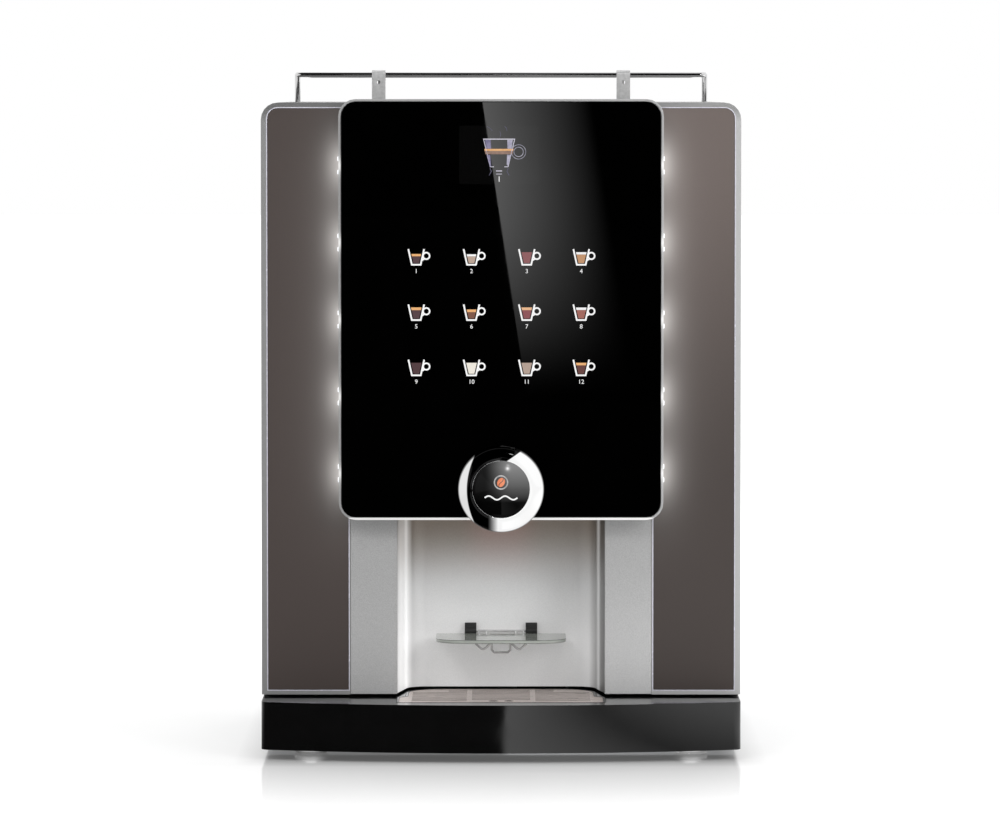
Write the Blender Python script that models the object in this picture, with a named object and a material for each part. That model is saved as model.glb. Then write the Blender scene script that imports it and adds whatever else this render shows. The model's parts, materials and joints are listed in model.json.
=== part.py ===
"""A table-top hot drinks machine that grinds, brews, mixes and pours one cup at a time.

Metres, +Z up. The front faces -Y, +X is on the viewer's right, and the origin is on the
surface that the machine stands on, under the middle of its outer box.
"""

import math

import bmesh
import bpy
from mathutils import Matrix, Vector

# Whole machine
BODY_HALF_WIDTH = 0.280
BODY_TOP = 0.7625
REAR_Y = 0.300
FRONT_Y = -0.300
GAP = 0.0003  # between pieces that rest on each other
CUT = 0.010  # how far a cutter reaches past the face that it opens
BITE = 0.001  # how far a welded shape reaches into the piece that it joins
ROUND_STEPS = 5  # straight pieces in a quarter of a corner

# Base
FOOT_RADIUS = 0.020
FOOT_X = 0.223
FOOT_FRONT_Y = -0.176
FOOT_REAR_Y = 0.250
BASE_BOTTOM = 0.012
BASE_TOP = 0.0677
BASE_HALF_WIDTH = 0.2785
BASE_SPLIT_Y = -0.095  # the front moulding ends here and the steel pan begins
BASE_BOW = 0.042  # how far the middle of the front stands ahead of its ends
BASE_CORNER_RADIUS = 0.012
BASE_WALL = 0.003
PAN_WALL = 0.0025
PAN_FLOOR = BASE_BOTTOM + PAN_WALL + GAP
FOOT_DISC_HEIGHT = 0.009
FOOT_STEM_RADIUS = 0.006
FOOT_BOSS_RADIUS = 0.011

# Drip tray
TRAY_BACK_Y = -0.1045
TRAY_FRONT_Y = -0.268
TRAY_BACK_RADIUS = 0.046
TRAY_FRONT_HALF_WIDTH = 0.1215
TRAY_BACK_HALF_WIDTH = 0.1115
TRAY_FLOOR = 0.0393
TRAY_TOP = 0.0680
TRAY_WALL = 0.0025
TRAY_LEDGE = 0.0035  # how far the grille rests on the tray all round
TRAY_CLEARANCE = 0.0005  # between the tray and the tub that it sits in
TUB_WALL = 0.003
GRILLE_THICKNESS = 0.0034
GRILLE_SLOT_WIDTH = 0.0055
GRILLE_SLOT_PITCH = 0.0135
GRILLE_SLOT_ROWS = 10
GRILLE_FIRST_SLOT = 0.022  # from the tray's front edge

# Cabinet
SHEET = 0.002
CABINET_FRONT_Y = -0.1525
CABINET_REAR_Y = 0.297
CABINET_BOTTOM = 0.068
CABINET_TOP = 0.738
INNER_SHEET = 0.003
DECK_Z = 0.345
DECK_TOP = DECK_Z + INNER_SHEET + GAP
SHELF_Z = 0.494
SHELF_TOP = SHELF_Z + INNER_SHEET + GAP
INLET_Z = 0.115
POWER_INLET_X = -0.200
WATER_INLET_X = 0.200

# Lid and cup rail
LID_BOTTOM = 0.7388
LID_REAR_Y = 0.298
TOP_CORNER_RADIUS = 0.020
LID_PIVOT = (0.0, LID_REAR_Y, LID_BOTTOM)
RAIL_HALF_WIDTH = 0.239
RAIL_FRONT_Y = -0.140
RAIL_REAR_Y = 0.262
RAIL_Z = 0.795
RAIL_WIRE_RADIUS = 0.003
RAIL_BEND = 0.005
RAIL_LEG_RADIUS = 0.0033
CLIP_X = 0.1435
CLIP_WIDTH = 0.016
CLIP_SHEET = 0.002

# Door
DOOR_FACE_Y = -0.195
DOOR_PLATE = 0.008
DOOR_REAR_Y = -0.1585
DOOR_BOTTOM = 0.070
DOOR_PIVOT = (-0.274, -0.160, DOOR_BOTTOM)
POCKET_DEPTH = 0.0043
PANEL_RECESS = 0.0005
PANEL_INNER_X = 0.1782
PANEL_OUTER_X = 0.2727
PANEL_BOTTOM = 0.0755
PANEL_TOP = 0.7560
COLUMN_TOP = 0.300
PIN_RADIUS = 0.0025
PIN_CLEARANCE = 0.0001
LUG_RADIUS = 0.0048
LUG_THICKNESS = 0.003
HINGE_HEIGHTS = {"lower": 0.094, "upper": 0.690}
HINGE_PLATE = 0.003

# Fascia
FASCIA_HALF_WIDTH = 0.189
FASCIA_BOTTOM = 0.277
FASCIA_TOP = 0.7665
FASCIA_RADIUS = 0.020
FASCIA_FRONT_Y = -0.2255
LIP_DEPTH = 0.004
LIP_OVERHANG = 0.0035
BEZEL_LINE = 0.0028
GLASS_PROUD = 0.0005
LED_PAIR_PITCH = 0.0896
LED_PAIR_GAP = 0.0155
LED_LOWEST_Z = 0.3235
LED_PAIRS = 5
LED_BAR_END = 0.012  # how far the light bar runs past its last lamps
LED_BAR_WIDTH = 0.0020
LED_LENS_RISE = 0.0022
DISPLAY_HALF_WIDTH = 0.050
DISPLAY_BOTTOM = 0.660
DISPLAY_TOP = 0.744
DISPLAY_CASE_STEP = 0.008
BADGE_Z = 0.3135
BADGE_RADIUS = 0.050
DOME_RADIUS = 0.0335
BADGE_DEPTH = 0.018
BADGE_STEPS = 40

# Cup niche and cup shelf
NICHE_HALF_WIDTH = 0.1214
NICHE_BACK_HALF_WIDTH = 0.106
NICHE_BACK_Y = -0.103
NICHE_TOP = 0.333
NICHE_CORNER_RADIUS = 0.024
SPOUT_Y = -0.140
SPOUT_X = 0.015
NOZZLE_RADIUS = 0.006
NOZZLE_BORE_RADIUS = 0.0035
SHELF_PIVOT = (0.0, -0.1085, 0.137)
BRACKET_INNER_X = 0.0292
BRACKET_OUTER_X = 0.0429
ROD_RADIUS = 0.0015
WIRE_RADIUS = 0.0013
SHELF_GLASS_HALF_WIDTH = 0.0765
SHELF_GLASS_BACK_Y = -0.1150
SHELF_GLASS_FRONT_Y = -0.2050
SHELF_GLASS_Z = 0.1305
SHELF_GLASS = 0.004
SHELF_GLASS_RADIUS = 0.032
SHELF_WIRE_Z = SHELF_GLASS_Z - WIRE_RADIUS - GAP
SHELF_BAR_Y = -0.136

# Lock
LOCK_Y = -0.172
LOCK_Z = 0.368
LOCK_RADIUS = 0.008
LOCK_INNER_X = 0.250
CAM_THICKNESS = 0.003

# Inside
CANISTERS = {"left": 0.005, "right": 0.181}
CANISTER_HALF_WIDTH = 0.083
CANISTER_FRONT_Y = -0.030
CANISTER_REAR_Y = 0.215
CANISTER_TOP = 0.745
AUGER_Z = 0.520
AUGER_RADIUS = 0.0145
AUGER_PITCH = 0.036
AUGER_SHAFT_RADIUS = 0.004
AUGER_FLIGHT = 0.002
AUGER_STEPS = 10  # straight pieces in one turn of the flight
CANISTER_WALL = 0.0025
NOZZLE_OUTER_RADIUS = 0.018
NOZZLE_INNER_RADIUS = 0.0155
LOOSE_LID = 0.004
HOPPER_LOW = (-0.262, -0.075)
HOPPER_HIGH = (-0.090, 0.215)
HOPPER_WALL = 0.003
HOPPER_THROAT_Z = 0.5566
BOWL_Y = -0.085
WHIPPER_Z = 0.376
CHAMBER_RADIUS = 0.0205
CHAMBER_BORE_RADIUS = 0.0180
CHAMBER_HALF_DEPTH = 0.018
WHIPPER_RADIUS = 0.0155
WHIPPER_SHAFT_RADIUS = 0.003
MOTOR_RADIUS = 0.019
GRINDER_XY = (-0.175, 0.060)
BREW_XY = (-0.192, -0.070)
BREW_BORE_RADIUS = 0.028
PISTON_RADIUS = 0.0277
PISTON_Z = 0.410
BOILER_XY = (0.190, 0.205)
BOILER_RADIUS = 0.055
PUMP_X = 0.050
PUMP_RADIUS = 0.020
BIN_LOW = (-0.262, -0.085)
BIN_HIGH = (-0.130, 0.150)
BIN_TOP = 0.300
BIN_WALL = 0.003
BIN_TAPER = 0.006  # how much narrower each side of the bin is at its floor

# Colour, roughness and metallic value of each finish
FINISHES = {
    "silver": ((0.37, 0.37, 0.37), 0.35, 0.8),
    "satin_column": ((0.45, 0.45, 0.44), 0.45, 0.6),
    "brown": ((0.088, 0.070, 0.066), 0.45, 0.3),
    "black_gloss": ((0.006, 0.006, 0.006), 0.08, 0.0),
    "black_matt": ((0.012, 0.012, 0.012), 0.5, 0.0),
    "black_glass": ((0.002, 0.002, 0.002), 0.03, 0.0),
    "chrome": ((0.75, 0.75, 0.76), 0.06, 1.0),
    "steel": ((0.56, 0.56, 0.55), 0.3, 1.0),
    "zinc": ((0.42, 0.43, 0.44), 0.4, 0.9),
    "white_light": ((0.95, 0.95, 1.0), 0.3, 0.0),
    "clear_glass": ((0.80, 0.86, 0.84), 0.05, 0.0),
    "clear_plastic": ((0.60, 0.62, 0.63), 0.2, 0.0),
    "white_plastic": ((0.72, 0.72, 0.70), 0.4, 0.0),
    "grey_plastic": ((0.20, 0.20, 0.21), 0.5, 0.0),
    "brass": ((0.62, 0.44, 0.16), 0.25, 1.0),
    "red_plastic": ((0.40, 0.03, 0.02), 0.4, 0.0),
}

PIVOTS = {
    "cabinet": (0.0, 0.0, 0.0),
    "door": DOOR_PIVOT,
    "lock_cam": (LOCK_INNER_X, LOCK_Y, LOCK_Z),
    "cup_shelf": SHELF_PIVOT,
    "drip_tray": (0.0, TRAY_BACK_Y, TRAY_FLOOR),
    "drip_grille": (0.0, TRAY_BACK_Y, TRAY_TOP),
    "lid": LID_PIVOT,
    "brew_piston": (*BREW_XY, PISTON_Z),
    "auger_left": (CANISTERS["left"], 0.0, AUGER_Z),
    "auger_right": (CANISTERS["right"], 0.0, AUGER_Z),
    "whipper_left": (CANISTERS["left"], 0.0, WHIPPER_Z),
    "whipper_right": (CANISTERS["right"], 0.0, WHIPPER_Z),
}
CARRIERS = {
    "door": "cabinet",
    "lock_cam": "door",
    "cup_shelf": "door",
    "drip_tray": "cabinet",
    "drip_grille": "drip_tray",
    "lid": "cabinet",
    "brew_piston": "cabinet",
    "auger_left": "cabinet",
    "auger_right": "cabinet",
    "whipper_left": "cabinet",
    "whipper_right": "cabinet",
}


# ---------------------------------------------------------------- outlines


def arc(centre, radius, start, end, steps=ROUND_STEPS):
    """Points on a circle, from one angle in degrees to another."""
    turns = [math.radians(start + (end - start) * i / steps) for i in range(steps + 1)]
    return [(centre[0] + radius * math.cos(t), centre[1] + radius * math.sin(t)) for t in turns]


def rectangle(low, high):
    return [(low[0], low[1]), (high[0], low[1]), (high[0], high[1]), (low[0], high[1])]


def rounded(low, high, radii):
    """A rectangle with a radius for each corner: low left, low right, high right, high left."""
    (x0, y0), (x1, y1) = low, high
    corners = [(x0, y0, 1, 1), (x1, y0, -1, 1), (x1, y1, -1, -1), (x0, y1, 1, -1)]
    points = []
    for (x, y, side_x, side_y), radius, start in zip(corners, radii, (180, 270, 0, 90)):
        if radius:
            centre = (x + side_x * radius, y + side_y * radius)
            points += arc(centre, radius, start, start + 90)
        else:
            points.append((x, y))
    return points


def shrink(low, high, radii, by):
    """The same rounded rectangle, smaller by a margin all round."""
    low = (low[0] + by, low[1] + by)
    high = (high[0] - by, high[1] - by)
    return rounded(low, high, [max(r - by, 0.0) for r in radii])


def thick_path(path, thickness):
    """The outline of a bent sheet that has the path as its middle line."""
    path = [Vector(p) for p in path]
    sides = ([], [])
    for i, point in enumerate(path):
        before = (point - path[i - 1]).normalized() if i else None
        after = (path[i + 1] - point).normalized() if i + 1 < len(path) else None
        run = ((before or after) + (after or before)).normalized()
        square_to_run = Vector((-run.y, run.x))
        stretch = 1.0 / max(run.dot(after or before), 0.3)
        for side, sign in zip(sides, (0.5, -0.5)):
            offset = square_to_run * (sign * thickness * stretch)
            side.append(tuple(point + offset))
    return sides[0] + sides[1][::-1]


def base_outline(inset):
    """The front moulding from above: straight back and sides, and a bowed front."""
    half = BASE_HALF_WIDTH - inset
    bow_radius = BASE_HALF_WIDTH**2 / (2 * BASE_BOW) + BASE_BOW / 2
    centre_y = FRONT_Y + bow_radius
    corner = BASE_CORNER_RADIUS - inset
    reach = bow_radius - BASE_CORNER_RADIUS
    tilt = math.degrees(math.asin((BASE_HALF_WIDTH - BASE_CORNER_RADIUS) / reach))
    corner_y = centre_y - reach * math.cos(math.radians(tilt))
    left = arc((corner - half, corner_y), corner, 180, 270 - tilt)
    bow = arc((0.0, centre_y), bow_radius - inset, 270 - tilt, 270 + tilt, 16)
    right = [(-x, y) for x, y in left[::-1]]
    back = BASE_SPLIT_Y - inset
    return [(-half, back)] + left + bow[1:-1] + right + [(half, back)]


def tray_outline(grow):
    """The drip tray from above: narrower at the back, with large rear corners."""
    radius = TRAY_BACK_RADIUS + grow
    back_y = TRAY_BACK_Y + grow
    half = TRAY_BACK_HALF_WIDTH + grow
    front_y = TRAY_FRONT_Y - grow
    right = arc((half - radius, back_y - radius), radius, 90, 0)
    right.append((TRAY_BACK_HALF_WIDTH + grow, DOOR_FACE_Y))
    right.append((TRAY_FRONT_HALF_WIDTH + grow, DOOR_FACE_Y - 0.010))
    right += arc((TRAY_FRONT_HALF_WIDTH - 0.008, front_y + 0.008 + grow), 0.008 + grow, 0, -90)
    return right + [(-x, y) for x, y in right[::-1]]


def niche_path():
    """The middle line of the niche liner from above: slanted sides and a flat back."""
    middle_y = NICHE_BACK_Y + SHEET / 2
    corner = NICHE_CORNER_RADIUS
    right = [(NICHE_HALF_WIDTH + 0.0019, DOOR_FACE_Y + DOOR_PLATE + GAP)]
    right.append((NICHE_BACK_HALF_WIDTH + 0.008, middle_y - corner - 0.006))
    right += arc((NICHE_BACK_HALF_WIDTH - corner + 0.0065, middle_y - corner), corner, 5, 90)
    return right + [(-x, y) for x, y in right[::-1]]


def fascia_outline(inset):
    low = (-FASCIA_HALF_WIDTH, FASCIA_BOTTOM)
    high = (FASCIA_HALF_WIDTH, FASCIA_TOP)
    return shrink(low, high, [FASCIA_RADIUS] * 4, inset)


def door_outline(inset):
    low = (-BODY_HALF_WIDTH, DOOR_BOTTOM)
    high = (BODY_HALF_WIDTH, BODY_TOP)
    radii = (0.001, 0.001, TOP_CORNER_RADIUS, TOP_CORNER_RADIUS)
    return shrink(low, high, radii, inset)


def panel_outline(side, inset):
    """A side panel from the front, with its top outer corner rounded. side is -1 or 1."""
    low = (PANEL_INNER_X, PANEL_BOTTOM)
    high = (PANEL_OUTER_X, PANEL_TOP)
    right = shrink(low, high, (0.001, 0.001, 0.012, 0.001), inset)
    return [(side * x, z) for x, z in right]


def column_outline(side, inset):
    low = (side * NICHE_HALF_WIDTH, DOOR_BOTTOM - 0.005)
    high = (side * (PANEL_INNER_X - 0.0018), COLUMN_TOP)
    (x0, z0), (x1, z1) = sorted([low, high])
    low = (min(x0, x1) + inset, min(z0, z1) + (0.0055 if inset else 0.0))
    return rectangle(low, (max(x0, x1) - inset, max(z0, z1) - inset))


# ---------------------------------------------------------------- solids


def place(bm, along):
    """Turns a shape made along +Z so that it runs along another axis, keeping it right-handed.

    Along y, an outline's points are (x, z). Along x, they are (y, z).
    """
    turns = {
        "z": Matrix.Identity(4),
        "y": Matrix(((1, 0, 0, 0), (0, 0, 1, 0), (0, 1, 0, 0), (0, 0, 0, 1))),
        "x": Matrix(((0, 0, 1, 0), (1, 0, 0, 0), (0, 1, 0, 0), (0, 0, 0, 1))),
    }
    bmesh.ops.transform(bm, matrix=turns[along], verts=bm.verts)
    bmesh.ops.recalc_face_normals(bm, faces=bm.faces)
    return bm


def prism(outline, low, high, along="z"):
    """An outline pushed from one level to another along an axis."""
    bm = bmesh.new()
    face = bm.faces.new([bm.verts.new((u, v, low)) for u, v in outline])
    pushed = bmesh.ops.extrude_face_region(bm, geom=[face])["geom"]
    moved = [item for item in pushed if isinstance(item, bmesh.types.BMVert)]
    bmesh.ops.translate(bm, vec=(0.0, 0.0, high - low), verts=moved)
    bmesh.ops.holes_fill(bm, edges=bm.edges)
    return place(bm, along)


def block(low, high):
    """A box between two opposite corners."""
    return prism(rectangle(low[:2], high[:2]), low[2], high[2])


def turned(profile, centre, along="z", steps=24):
    """A profile of (radius, height) points turned about an axis.

    A profile that starts and ends at radius 0 gives a solid, and any other one a ring.
    """
    bm = bmesh.new()
    rings = []
    for radius, height in profile:
        count = steps if radius > 0 else 1
        angles = [2 * math.pi * i / count for i in range(count)]
        rings.append([bm.verts.new((radius * math.cos(a), radius * math.sin(a), height)) for a in angles])
    solid = profile[0][0] == 0 and profile[-1][0] == 0
    pairs = list(zip(rings, rings[1:])) if solid else list(zip(rings, rings[1:] + rings[:1]))
    for lower, upper in pairs:
        for i in range(steps):
            j = (i + 1) % steps
            loop = [lower[i % len(lower)], lower[j % len(lower)]]
            loop += [upper[j % len(upper)], upper[i % len(upper)]]
            bm.faces.new(list(dict.fromkeys(loop)))
    place(bm, along)
    bmesh.ops.translate(bm, vec=centre, verts=bm.verts)
    return bm


def rod(radius, low, high, centre, along="z", steps=16):
    """A round bar whose ends are at two heights along its axis."""
    return turned([(0, low), (radius, low), (radius, high), (0, high)], centre, along, steps)


def wire(points, radius, closed=False, sides=8):
    """A round wire along points, mitred where it bends."""
    points = [Vector(p) for p in points]
    count = len(points)
    bm = bmesh.new()
    rings = []
    across = None
    for i, point in enumerate(points):
        before = point - points[i - 1] if i or closed else None
        after = points[(i + 1) % count] - point if i + 1 < count or closed else None
        into = (before or after).normalized()
        out = (after or before).normalized()
        run = (into + out).normalized()
        if across is None:
            across = into.orthogonal().normalized()
        across = (across - into * across.dot(into)).normalized()
        up = into.cross(across)
        ring = []
        for k in range(sides):
            turn = 2 * math.pi * (k + 0.5) / sides
            offset = (across * math.cos(turn) + up * math.sin(turn)) * radius
            offset -= into * (offset.dot(run) / into.dot(run))
            ring.append(bm.verts.new(point + offset))
        rings.append(ring)
    follow = rings[1:] + rings[:1] if closed else rings[1:]
    for lower, upper in zip(rings, follow):
        twist = 0
        if closed and upper is rings[0]:
            twist = min(range(sides), key=lambda k: (upper[k].co - lower[0].co).length)
        for k in range(sides):
            n = (k + 1) % sides
            bm.faces.new([lower[k], lower[n], upper[(n + twist) % sides], upper[(k + twist) % sides]])
    if not closed:
        bm.faces.new(rings[0])
        bm.faces.new(rings[-1])
    bmesh.ops.recalc_face_normals(bm, faces=bm.faces)
    return bm


def lofted(levels):
    """Rectangles stacked in height: each level is (z, low corner, high corner)."""
    bm = bmesh.new()
    rings = [[bm.verts.new((x, y, z)) for x, y in rectangle(low, high)] for z, low, high in levels]
    for lower, upper in zip(rings, rings[1:]):
        for i in range(4):
            j = (i + 1) % 4
            bm.faces.new([lower[i], lower[j], upper[j], upper[i]])
    bm.faces.new(rings[0])
    bm.faces.new(rings[-1])
    bmesh.ops.recalc_face_normals(bm, faces=bm.faces)
    return bm


def together(shapes):
    """Several shapes as one mesh, for a cutter that has more than one piece."""
    whole = bmesh.new()
    for shape in shapes:
        mesh = bpy.data.meshes.new("piece")
        shape.to_mesh(mesh)
        shape.free()
        whole.from_mesh(mesh)
        bpy.data.meshes.remove(mesh)
    return whole


# ---------------------------------------------------------------- objects


def clear_scene():
    for obj in list(bpy.data.objects):
        bpy.data.objects.remove(obj, do_unlink=True)


def add_body(name):
    """An empty on a joint's axis, which carries the pieces that move together."""
    empty = bpy.data.objects.new("body_" + name, None)
    empty.empty_display_size = 0.05
    bpy.context.collection.objects.link(empty)
    carrier = CARRIERS.get(name)
    if carrier:
        empty.parent = bpy.data.objects["body_" + carrier]
        empty.location = Vector(PIVOTS[name]) - Vector(PIVOTS[carrier])
    return empty


def material(name, finish):
    colour, roughness, metallic = FINISHES[finish]
    made = bpy.data.materials.new(name)
    made.use_nodes = True
    shader = made.node_tree.nodes["Principled BSDF"]
    shader.inputs["Base Color"].default_value = (*colour, 1.0)
    shader.inputs["Roughness"].default_value = roughness
    shader.inputs["Metallic"].default_value = metallic
    return made


def link_mesh(name, bm, body):
    """A mesh object whose origin is its body's pivot. The shape is given in world coordinates."""
    bmesh.ops.translate(bm, vec=-Vector(PIVOTS[body]), verts=bm.verts)
    mesh = bpy.data.meshes.new(name)
    bm.to_mesh(mesh)
    bm.free()
    obj = bpy.data.objects.new(name, mesh)
    bpy.context.collection.objects.link(obj)
    obj.parent = bpy.data.objects["body_" + body]
    return obj


def piece(name, bm, finish, body="cabinet"):
    """One sub-part, in its own finish, carried by a body."""
    obj = link_mesh(name, bm, body)
    obj.data.shade_smooth()
    obj.data.set_sharp_from_angle(angle=math.radians(30))
    obj.data.materials.append(material(name, finish))
    return obj


def combine(obj, bm, operation):
    """Cuts a shape from a sub-part, or welds one to it, with a hidden helper object."""
    body = obj.parent.name.removeprefix("body_")
    helper = link_mesh(f"{obj.name}_helper_{len(obj.modifiers)}", bm, body)
    helper.hide_render = True
    helper.display_type = "WIRE"
    modifier = obj.modifiers.new(operation.lower(), "BOOLEAN")
    modifier.operation = operation
    modifier.object = helper


def cut(obj, bm):
    combine(obj, bm, "DIFFERENCE")


def weld(obj, bm):
    combine(obj, bm, "UNION")


# ---------------------------------------------------------------- base


def make_base_fascia():
    """The bowed gloss front moulding, hollow from below, with a tub that takes the drip tray."""
    fascia = piece("base_fascia", prism(base_outline(0.0), BASE_BOTTOM, BASE_TOP), "black_gloss")
    cut(fascia, prism(base_outline(BASE_WALL), 0.0, BASE_TOP - BASE_WALL))
    tub_margin = TRAY_CLEARANCE + TUB_WALL
    weld(fascia, prism(tray_outline(tub_margin), TRAY_FLOOR - GAP - TUB_WALL, BASE_TOP))
    cut(fascia, prism(tray_outline(TRAY_CLEARANCE), TRAY_FLOOR - GAP, BASE_TOP + CUT))
    boss_top = BASE_TOP - BITE
    bosses = [rod(FOOT_BOSS_RADIUS, BASE_BOTTOM, boss_top, (x, FOOT_FRONT_Y, 0)) for x in (-FOOT_X, FOOT_X)]
    weld(fascia, together(bosses))


def make_base_pan():
    """The steel pan behind the front moulding, open at the top."""
    low = (-BASE_HALF_WIDTH, BASE_SPLIT_Y + GAP, BASE_BOTTOM)
    pan = piece("base_pan", block(low, (BASE_HALF_WIDTH, REAR_Y, BASE_TOP)), "zinc")
    inner_low = [value + PAN_WALL for value in low]
    cut(pan, block(inner_low, (BASE_HALF_WIDTH - PAN_WALL, REAR_Y - PAN_WALL, BASE_TOP + CUT)))


def make_feet():
    top = BASE_BOTTOM - GAP
    edge = 0.002
    inner = FOOT_RADIUS - edge
    profile = [(0, 0), (inner, 0), (FOOT_RADIUS, edge), (FOOT_RADIUS, FOOT_DISC_HEIGHT - edge)]
    profile += [(inner, FOOT_DISC_HEIGHT), (FOOT_STEM_RADIUS, FOOT_DISC_HEIGHT)]
    profile += [(FOOT_STEM_RADIUS, top), (0, top)]
    for row, y in (("front", FOOT_FRONT_Y), ("rear", FOOT_REAR_Y)):
        for side, x in (("left", -FOOT_X), ("right", FOOT_X)):
            piece(f"foot_{row}_{side}", turned(profile, (x, y, 0)), "chrome")


def make_drip_tray():
    tray = piece("drip_tray", prism(tray_outline(0.0), TRAY_FLOOR, TRAY_TOP), "black_gloss", "drip_tray")
    ledge_z = TRAY_TOP - GRILLE_THICKNESS - 2 * GAP
    cut(tray, prism(tray_outline(-TRAY_WALL), ledge_z, TRAY_TOP + CUT))
    cut(tray, prism(tray_outline(-TRAY_WALL - TRAY_LEDGE), TRAY_FLOOR + TRAY_WALL, TRAY_TOP))


def make_drip_grille():
    """A slatted plate on the tray's ledge, with three rows of slots and a lifting hole."""
    top = TRAY_TOP - GAP
    outline = tray_outline(-TRAY_WALL - GAP)
    grille = piece("drip_grille", prism(outline, top - GRILLE_THICKNESS, top), "steel", "drip_grille")
    slots = []
    middle, inner, outer, rear_outer = 0.034, 0.040, 0.104, 0.062
    for row in range(GRILLE_SLOT_ROWS):
        y = TRAY_FRONT_Y + GRILLE_FIRST_SLOT + row * GRILLE_SLOT_PITCH
        reach = outer if row < GRILLE_SLOT_ROWS - 2 else rear_outer
        spans = [(-reach, -inner), (inner, reach)]
        if row:
            spans.append((-middle, middle))
        for low, high in spans:
            slots.append(block((low, y, top - CUT), (high, y + GRILLE_SLOT_WIDTH, top + CUT)))
    hole_y = TRAY_FRONT_Y + GRILLE_FIRST_SLOT
    finger_holes = [rod(0.006, top - CUT, top + CUT, (x, hole_y, 0)) for x in (-0.009, 0.009)]
    cut(grille, together(slots + finger_holes))


# ---------------------------------------------------------------- cabinet


def make_cabinet_shell():
    """Two sides and a back, bent from one sheet, with openings for the rear cover and inlets."""
    side_x = BODY_HALF_WIDTH - SHEET / 2
    back_y = CABINET_REAR_Y - SHEET / 2
    bend = 0.008
    right = [(side_x, CABINET_FRONT_Y)] + arc((side_x - bend, back_y - bend), bend, 0, 90, 4)
    path = right + [(-x, y) for x, y in right[::-1]]
    shell = piece("cabinet_shell", prism(thick_path(path, SHEET), CABINET_BOTTOM, CABINET_TOP), "silver")
    front, rear = CABINET_REAR_Y - SHEET - CUT, CABINET_REAR_Y + CUT
    vent = block((-0.200, front, 0.365), (0.200, rear, 0.700))
    power_hole = block((POWER_INLET_X - 0.0165, front, 0.0985), (POWER_INLET_X + 0.0165, rear, 0.1265))
    water_hole = rod(0.0125, front, rear, (WATER_INLET_X, 0, INLET_Z), "y")
    cut(shell, together([vent, power_hole, water_hole]))


def make_rear_cover():
    low = (-0.215, CABINET_REAR_Y + GAP, 0.350)
    cover = piece("rear_cover", block(low, (0.215, CABINET_REAR_Y + GAP + SHEET, 0.715)), "zinc")
    slots = []
    pitch, width, height = 0.036, 0.150, 0.007
    for row in range(8):
        z = 0.400 + row * pitch
        low_y, high_y = CABINET_REAR_Y - CUT, CABINET_REAR_Y + SHEET + CUT
        slots += [block((x, low_y, z), (x + width, high_y, z + height)) for x in (-0.170, 0.020)]
    cut(cover, together(slots))


def make_inner_deck():
    """The shelf over the niche, with an upturned front lip that the door lock hooks behind."""
    front_y, rear_y = -0.139, CABINET_REAR_Y - 0.010
    half = BODY_HALF_WIDTH - SHEET - 0.0005
    middle_z = DECK_Z + INNER_SHEET / 2
    path = [(front_y, DECK_Z + 0.011), (front_y, middle_z), (rear_y, middle_z)]
    deck = piece("inner_deck", prism(thick_path(path, INNER_SHEET), -half, half, "x"), "zinc")
    low_z, high_z = DECK_Z - CUT, DECK_Z + CUT
    passages = [block((x - 0.020, 0.200, low_z), (x + 0.020, 0.260, high_z)) for x in (-0.05, 0.10)]
    cut(deck, together(passages))


def make_canister_shelf():
    """The upper shelf that the two powder canisters stand on, on two legs."""
    low, high = (-0.085, -0.025, SHELF_Z), (0.2770, 0.2870, SHELF_Z + INNER_SHEET)
    shelf = piece("canister_shelf", block(low, high), "zinc")
    leg_top = SHELF_Z + BITE
    legs = [block((x, 0.150, DECK_TOP), (x + INNER_SHEET, 0.280, leg_top)) for x in (-0.084, 0.273)]
    weld(shelf, together(legs))


def make_door_hinges():
    """Two brackets inside the cabinet's left wall, each with a pin that the door hangs on."""
    pin_x, pin_y, _ = DOOR_PIVOT
    nose_radius = 0.0035
    nose = arc((pin_x, pin_y), nose_radius, 90, 270, 8)
    wall_x = -BODY_HALF_WIDTH + SHEET + GAP
    back_y = pin_y + 0.045
    outline = [(pin_x + 0.003, back_y), (pin_x + 0.003, pin_y + nose_radius)] + nose
    outline += [(pin_x + 0.012, pin_y - nose_radius), (pin_x + 0.012, back_y)]
    for name, z in HINGE_HEIGHTS.items():
        hinge = piece(f"door_hinge_{name}", prism(outline, z, z + HINGE_PLATE), "steel")
        plate_high = (wall_x + HINGE_PLATE, back_y, z + HINGE_PLATE + 0.020)
        weld(hinge, block((wall_x, CABINET_FRONT_Y + 0.004, z - 0.020), plate_high))
        web_high = (pin_x + 0.006, back_y, z + HINGE_PLATE)
        weld(hinge, block((wall_x + BITE, CABINET_FRONT_Y + 0.008, z), web_high))
        weld(hinge, rod(PIN_RADIUS, z + BITE, z + 0.012, (pin_x, pin_y, 0)))


def make_inlets():
    """The mains socket with its three pins, and the threaded nipple for the water hose."""
    wall_y = CABINET_REAR_Y
    x = POWER_INLET_X
    case = block((x - 0.016, 0.266, 0.099), (x + 0.016, wall_y + BITE, 0.126))
    power = piece("power_inlet", case, "black_matt")
    weld(power, block((x - 0.025, wall_y + GAP, 0.092), (x + 0.025, wall_y + 0.0025, 0.133)))
    cut(power, block((x - 0.012, 0.272, 0.103), (x + 0.012, wall_y + CUT, 0.122)))
    pin_spots = [(x - 0.008, 0.108), (x + 0.006, 0.108), (x - 0.001, 0.114)]
    pins = [block((pin_x, 0.271, z), (pin_x + 0.002, 0.290, z + 0.005)) for pin_x, z in pin_spots]
    weld(power, together(pins))
    rear_y = REAR_Y - GAP
    nipple = [(0.007, 0.262), (0.012, 0.262), (0.012, rear_y), (0.007, rear_y)]
    piece("water_inlet", turned(nipple, (WATER_INLET_X, 0, INLET_Z), "y", 20), "brass")


# ---------------------------------------------------------------- lid and cup rail


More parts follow.
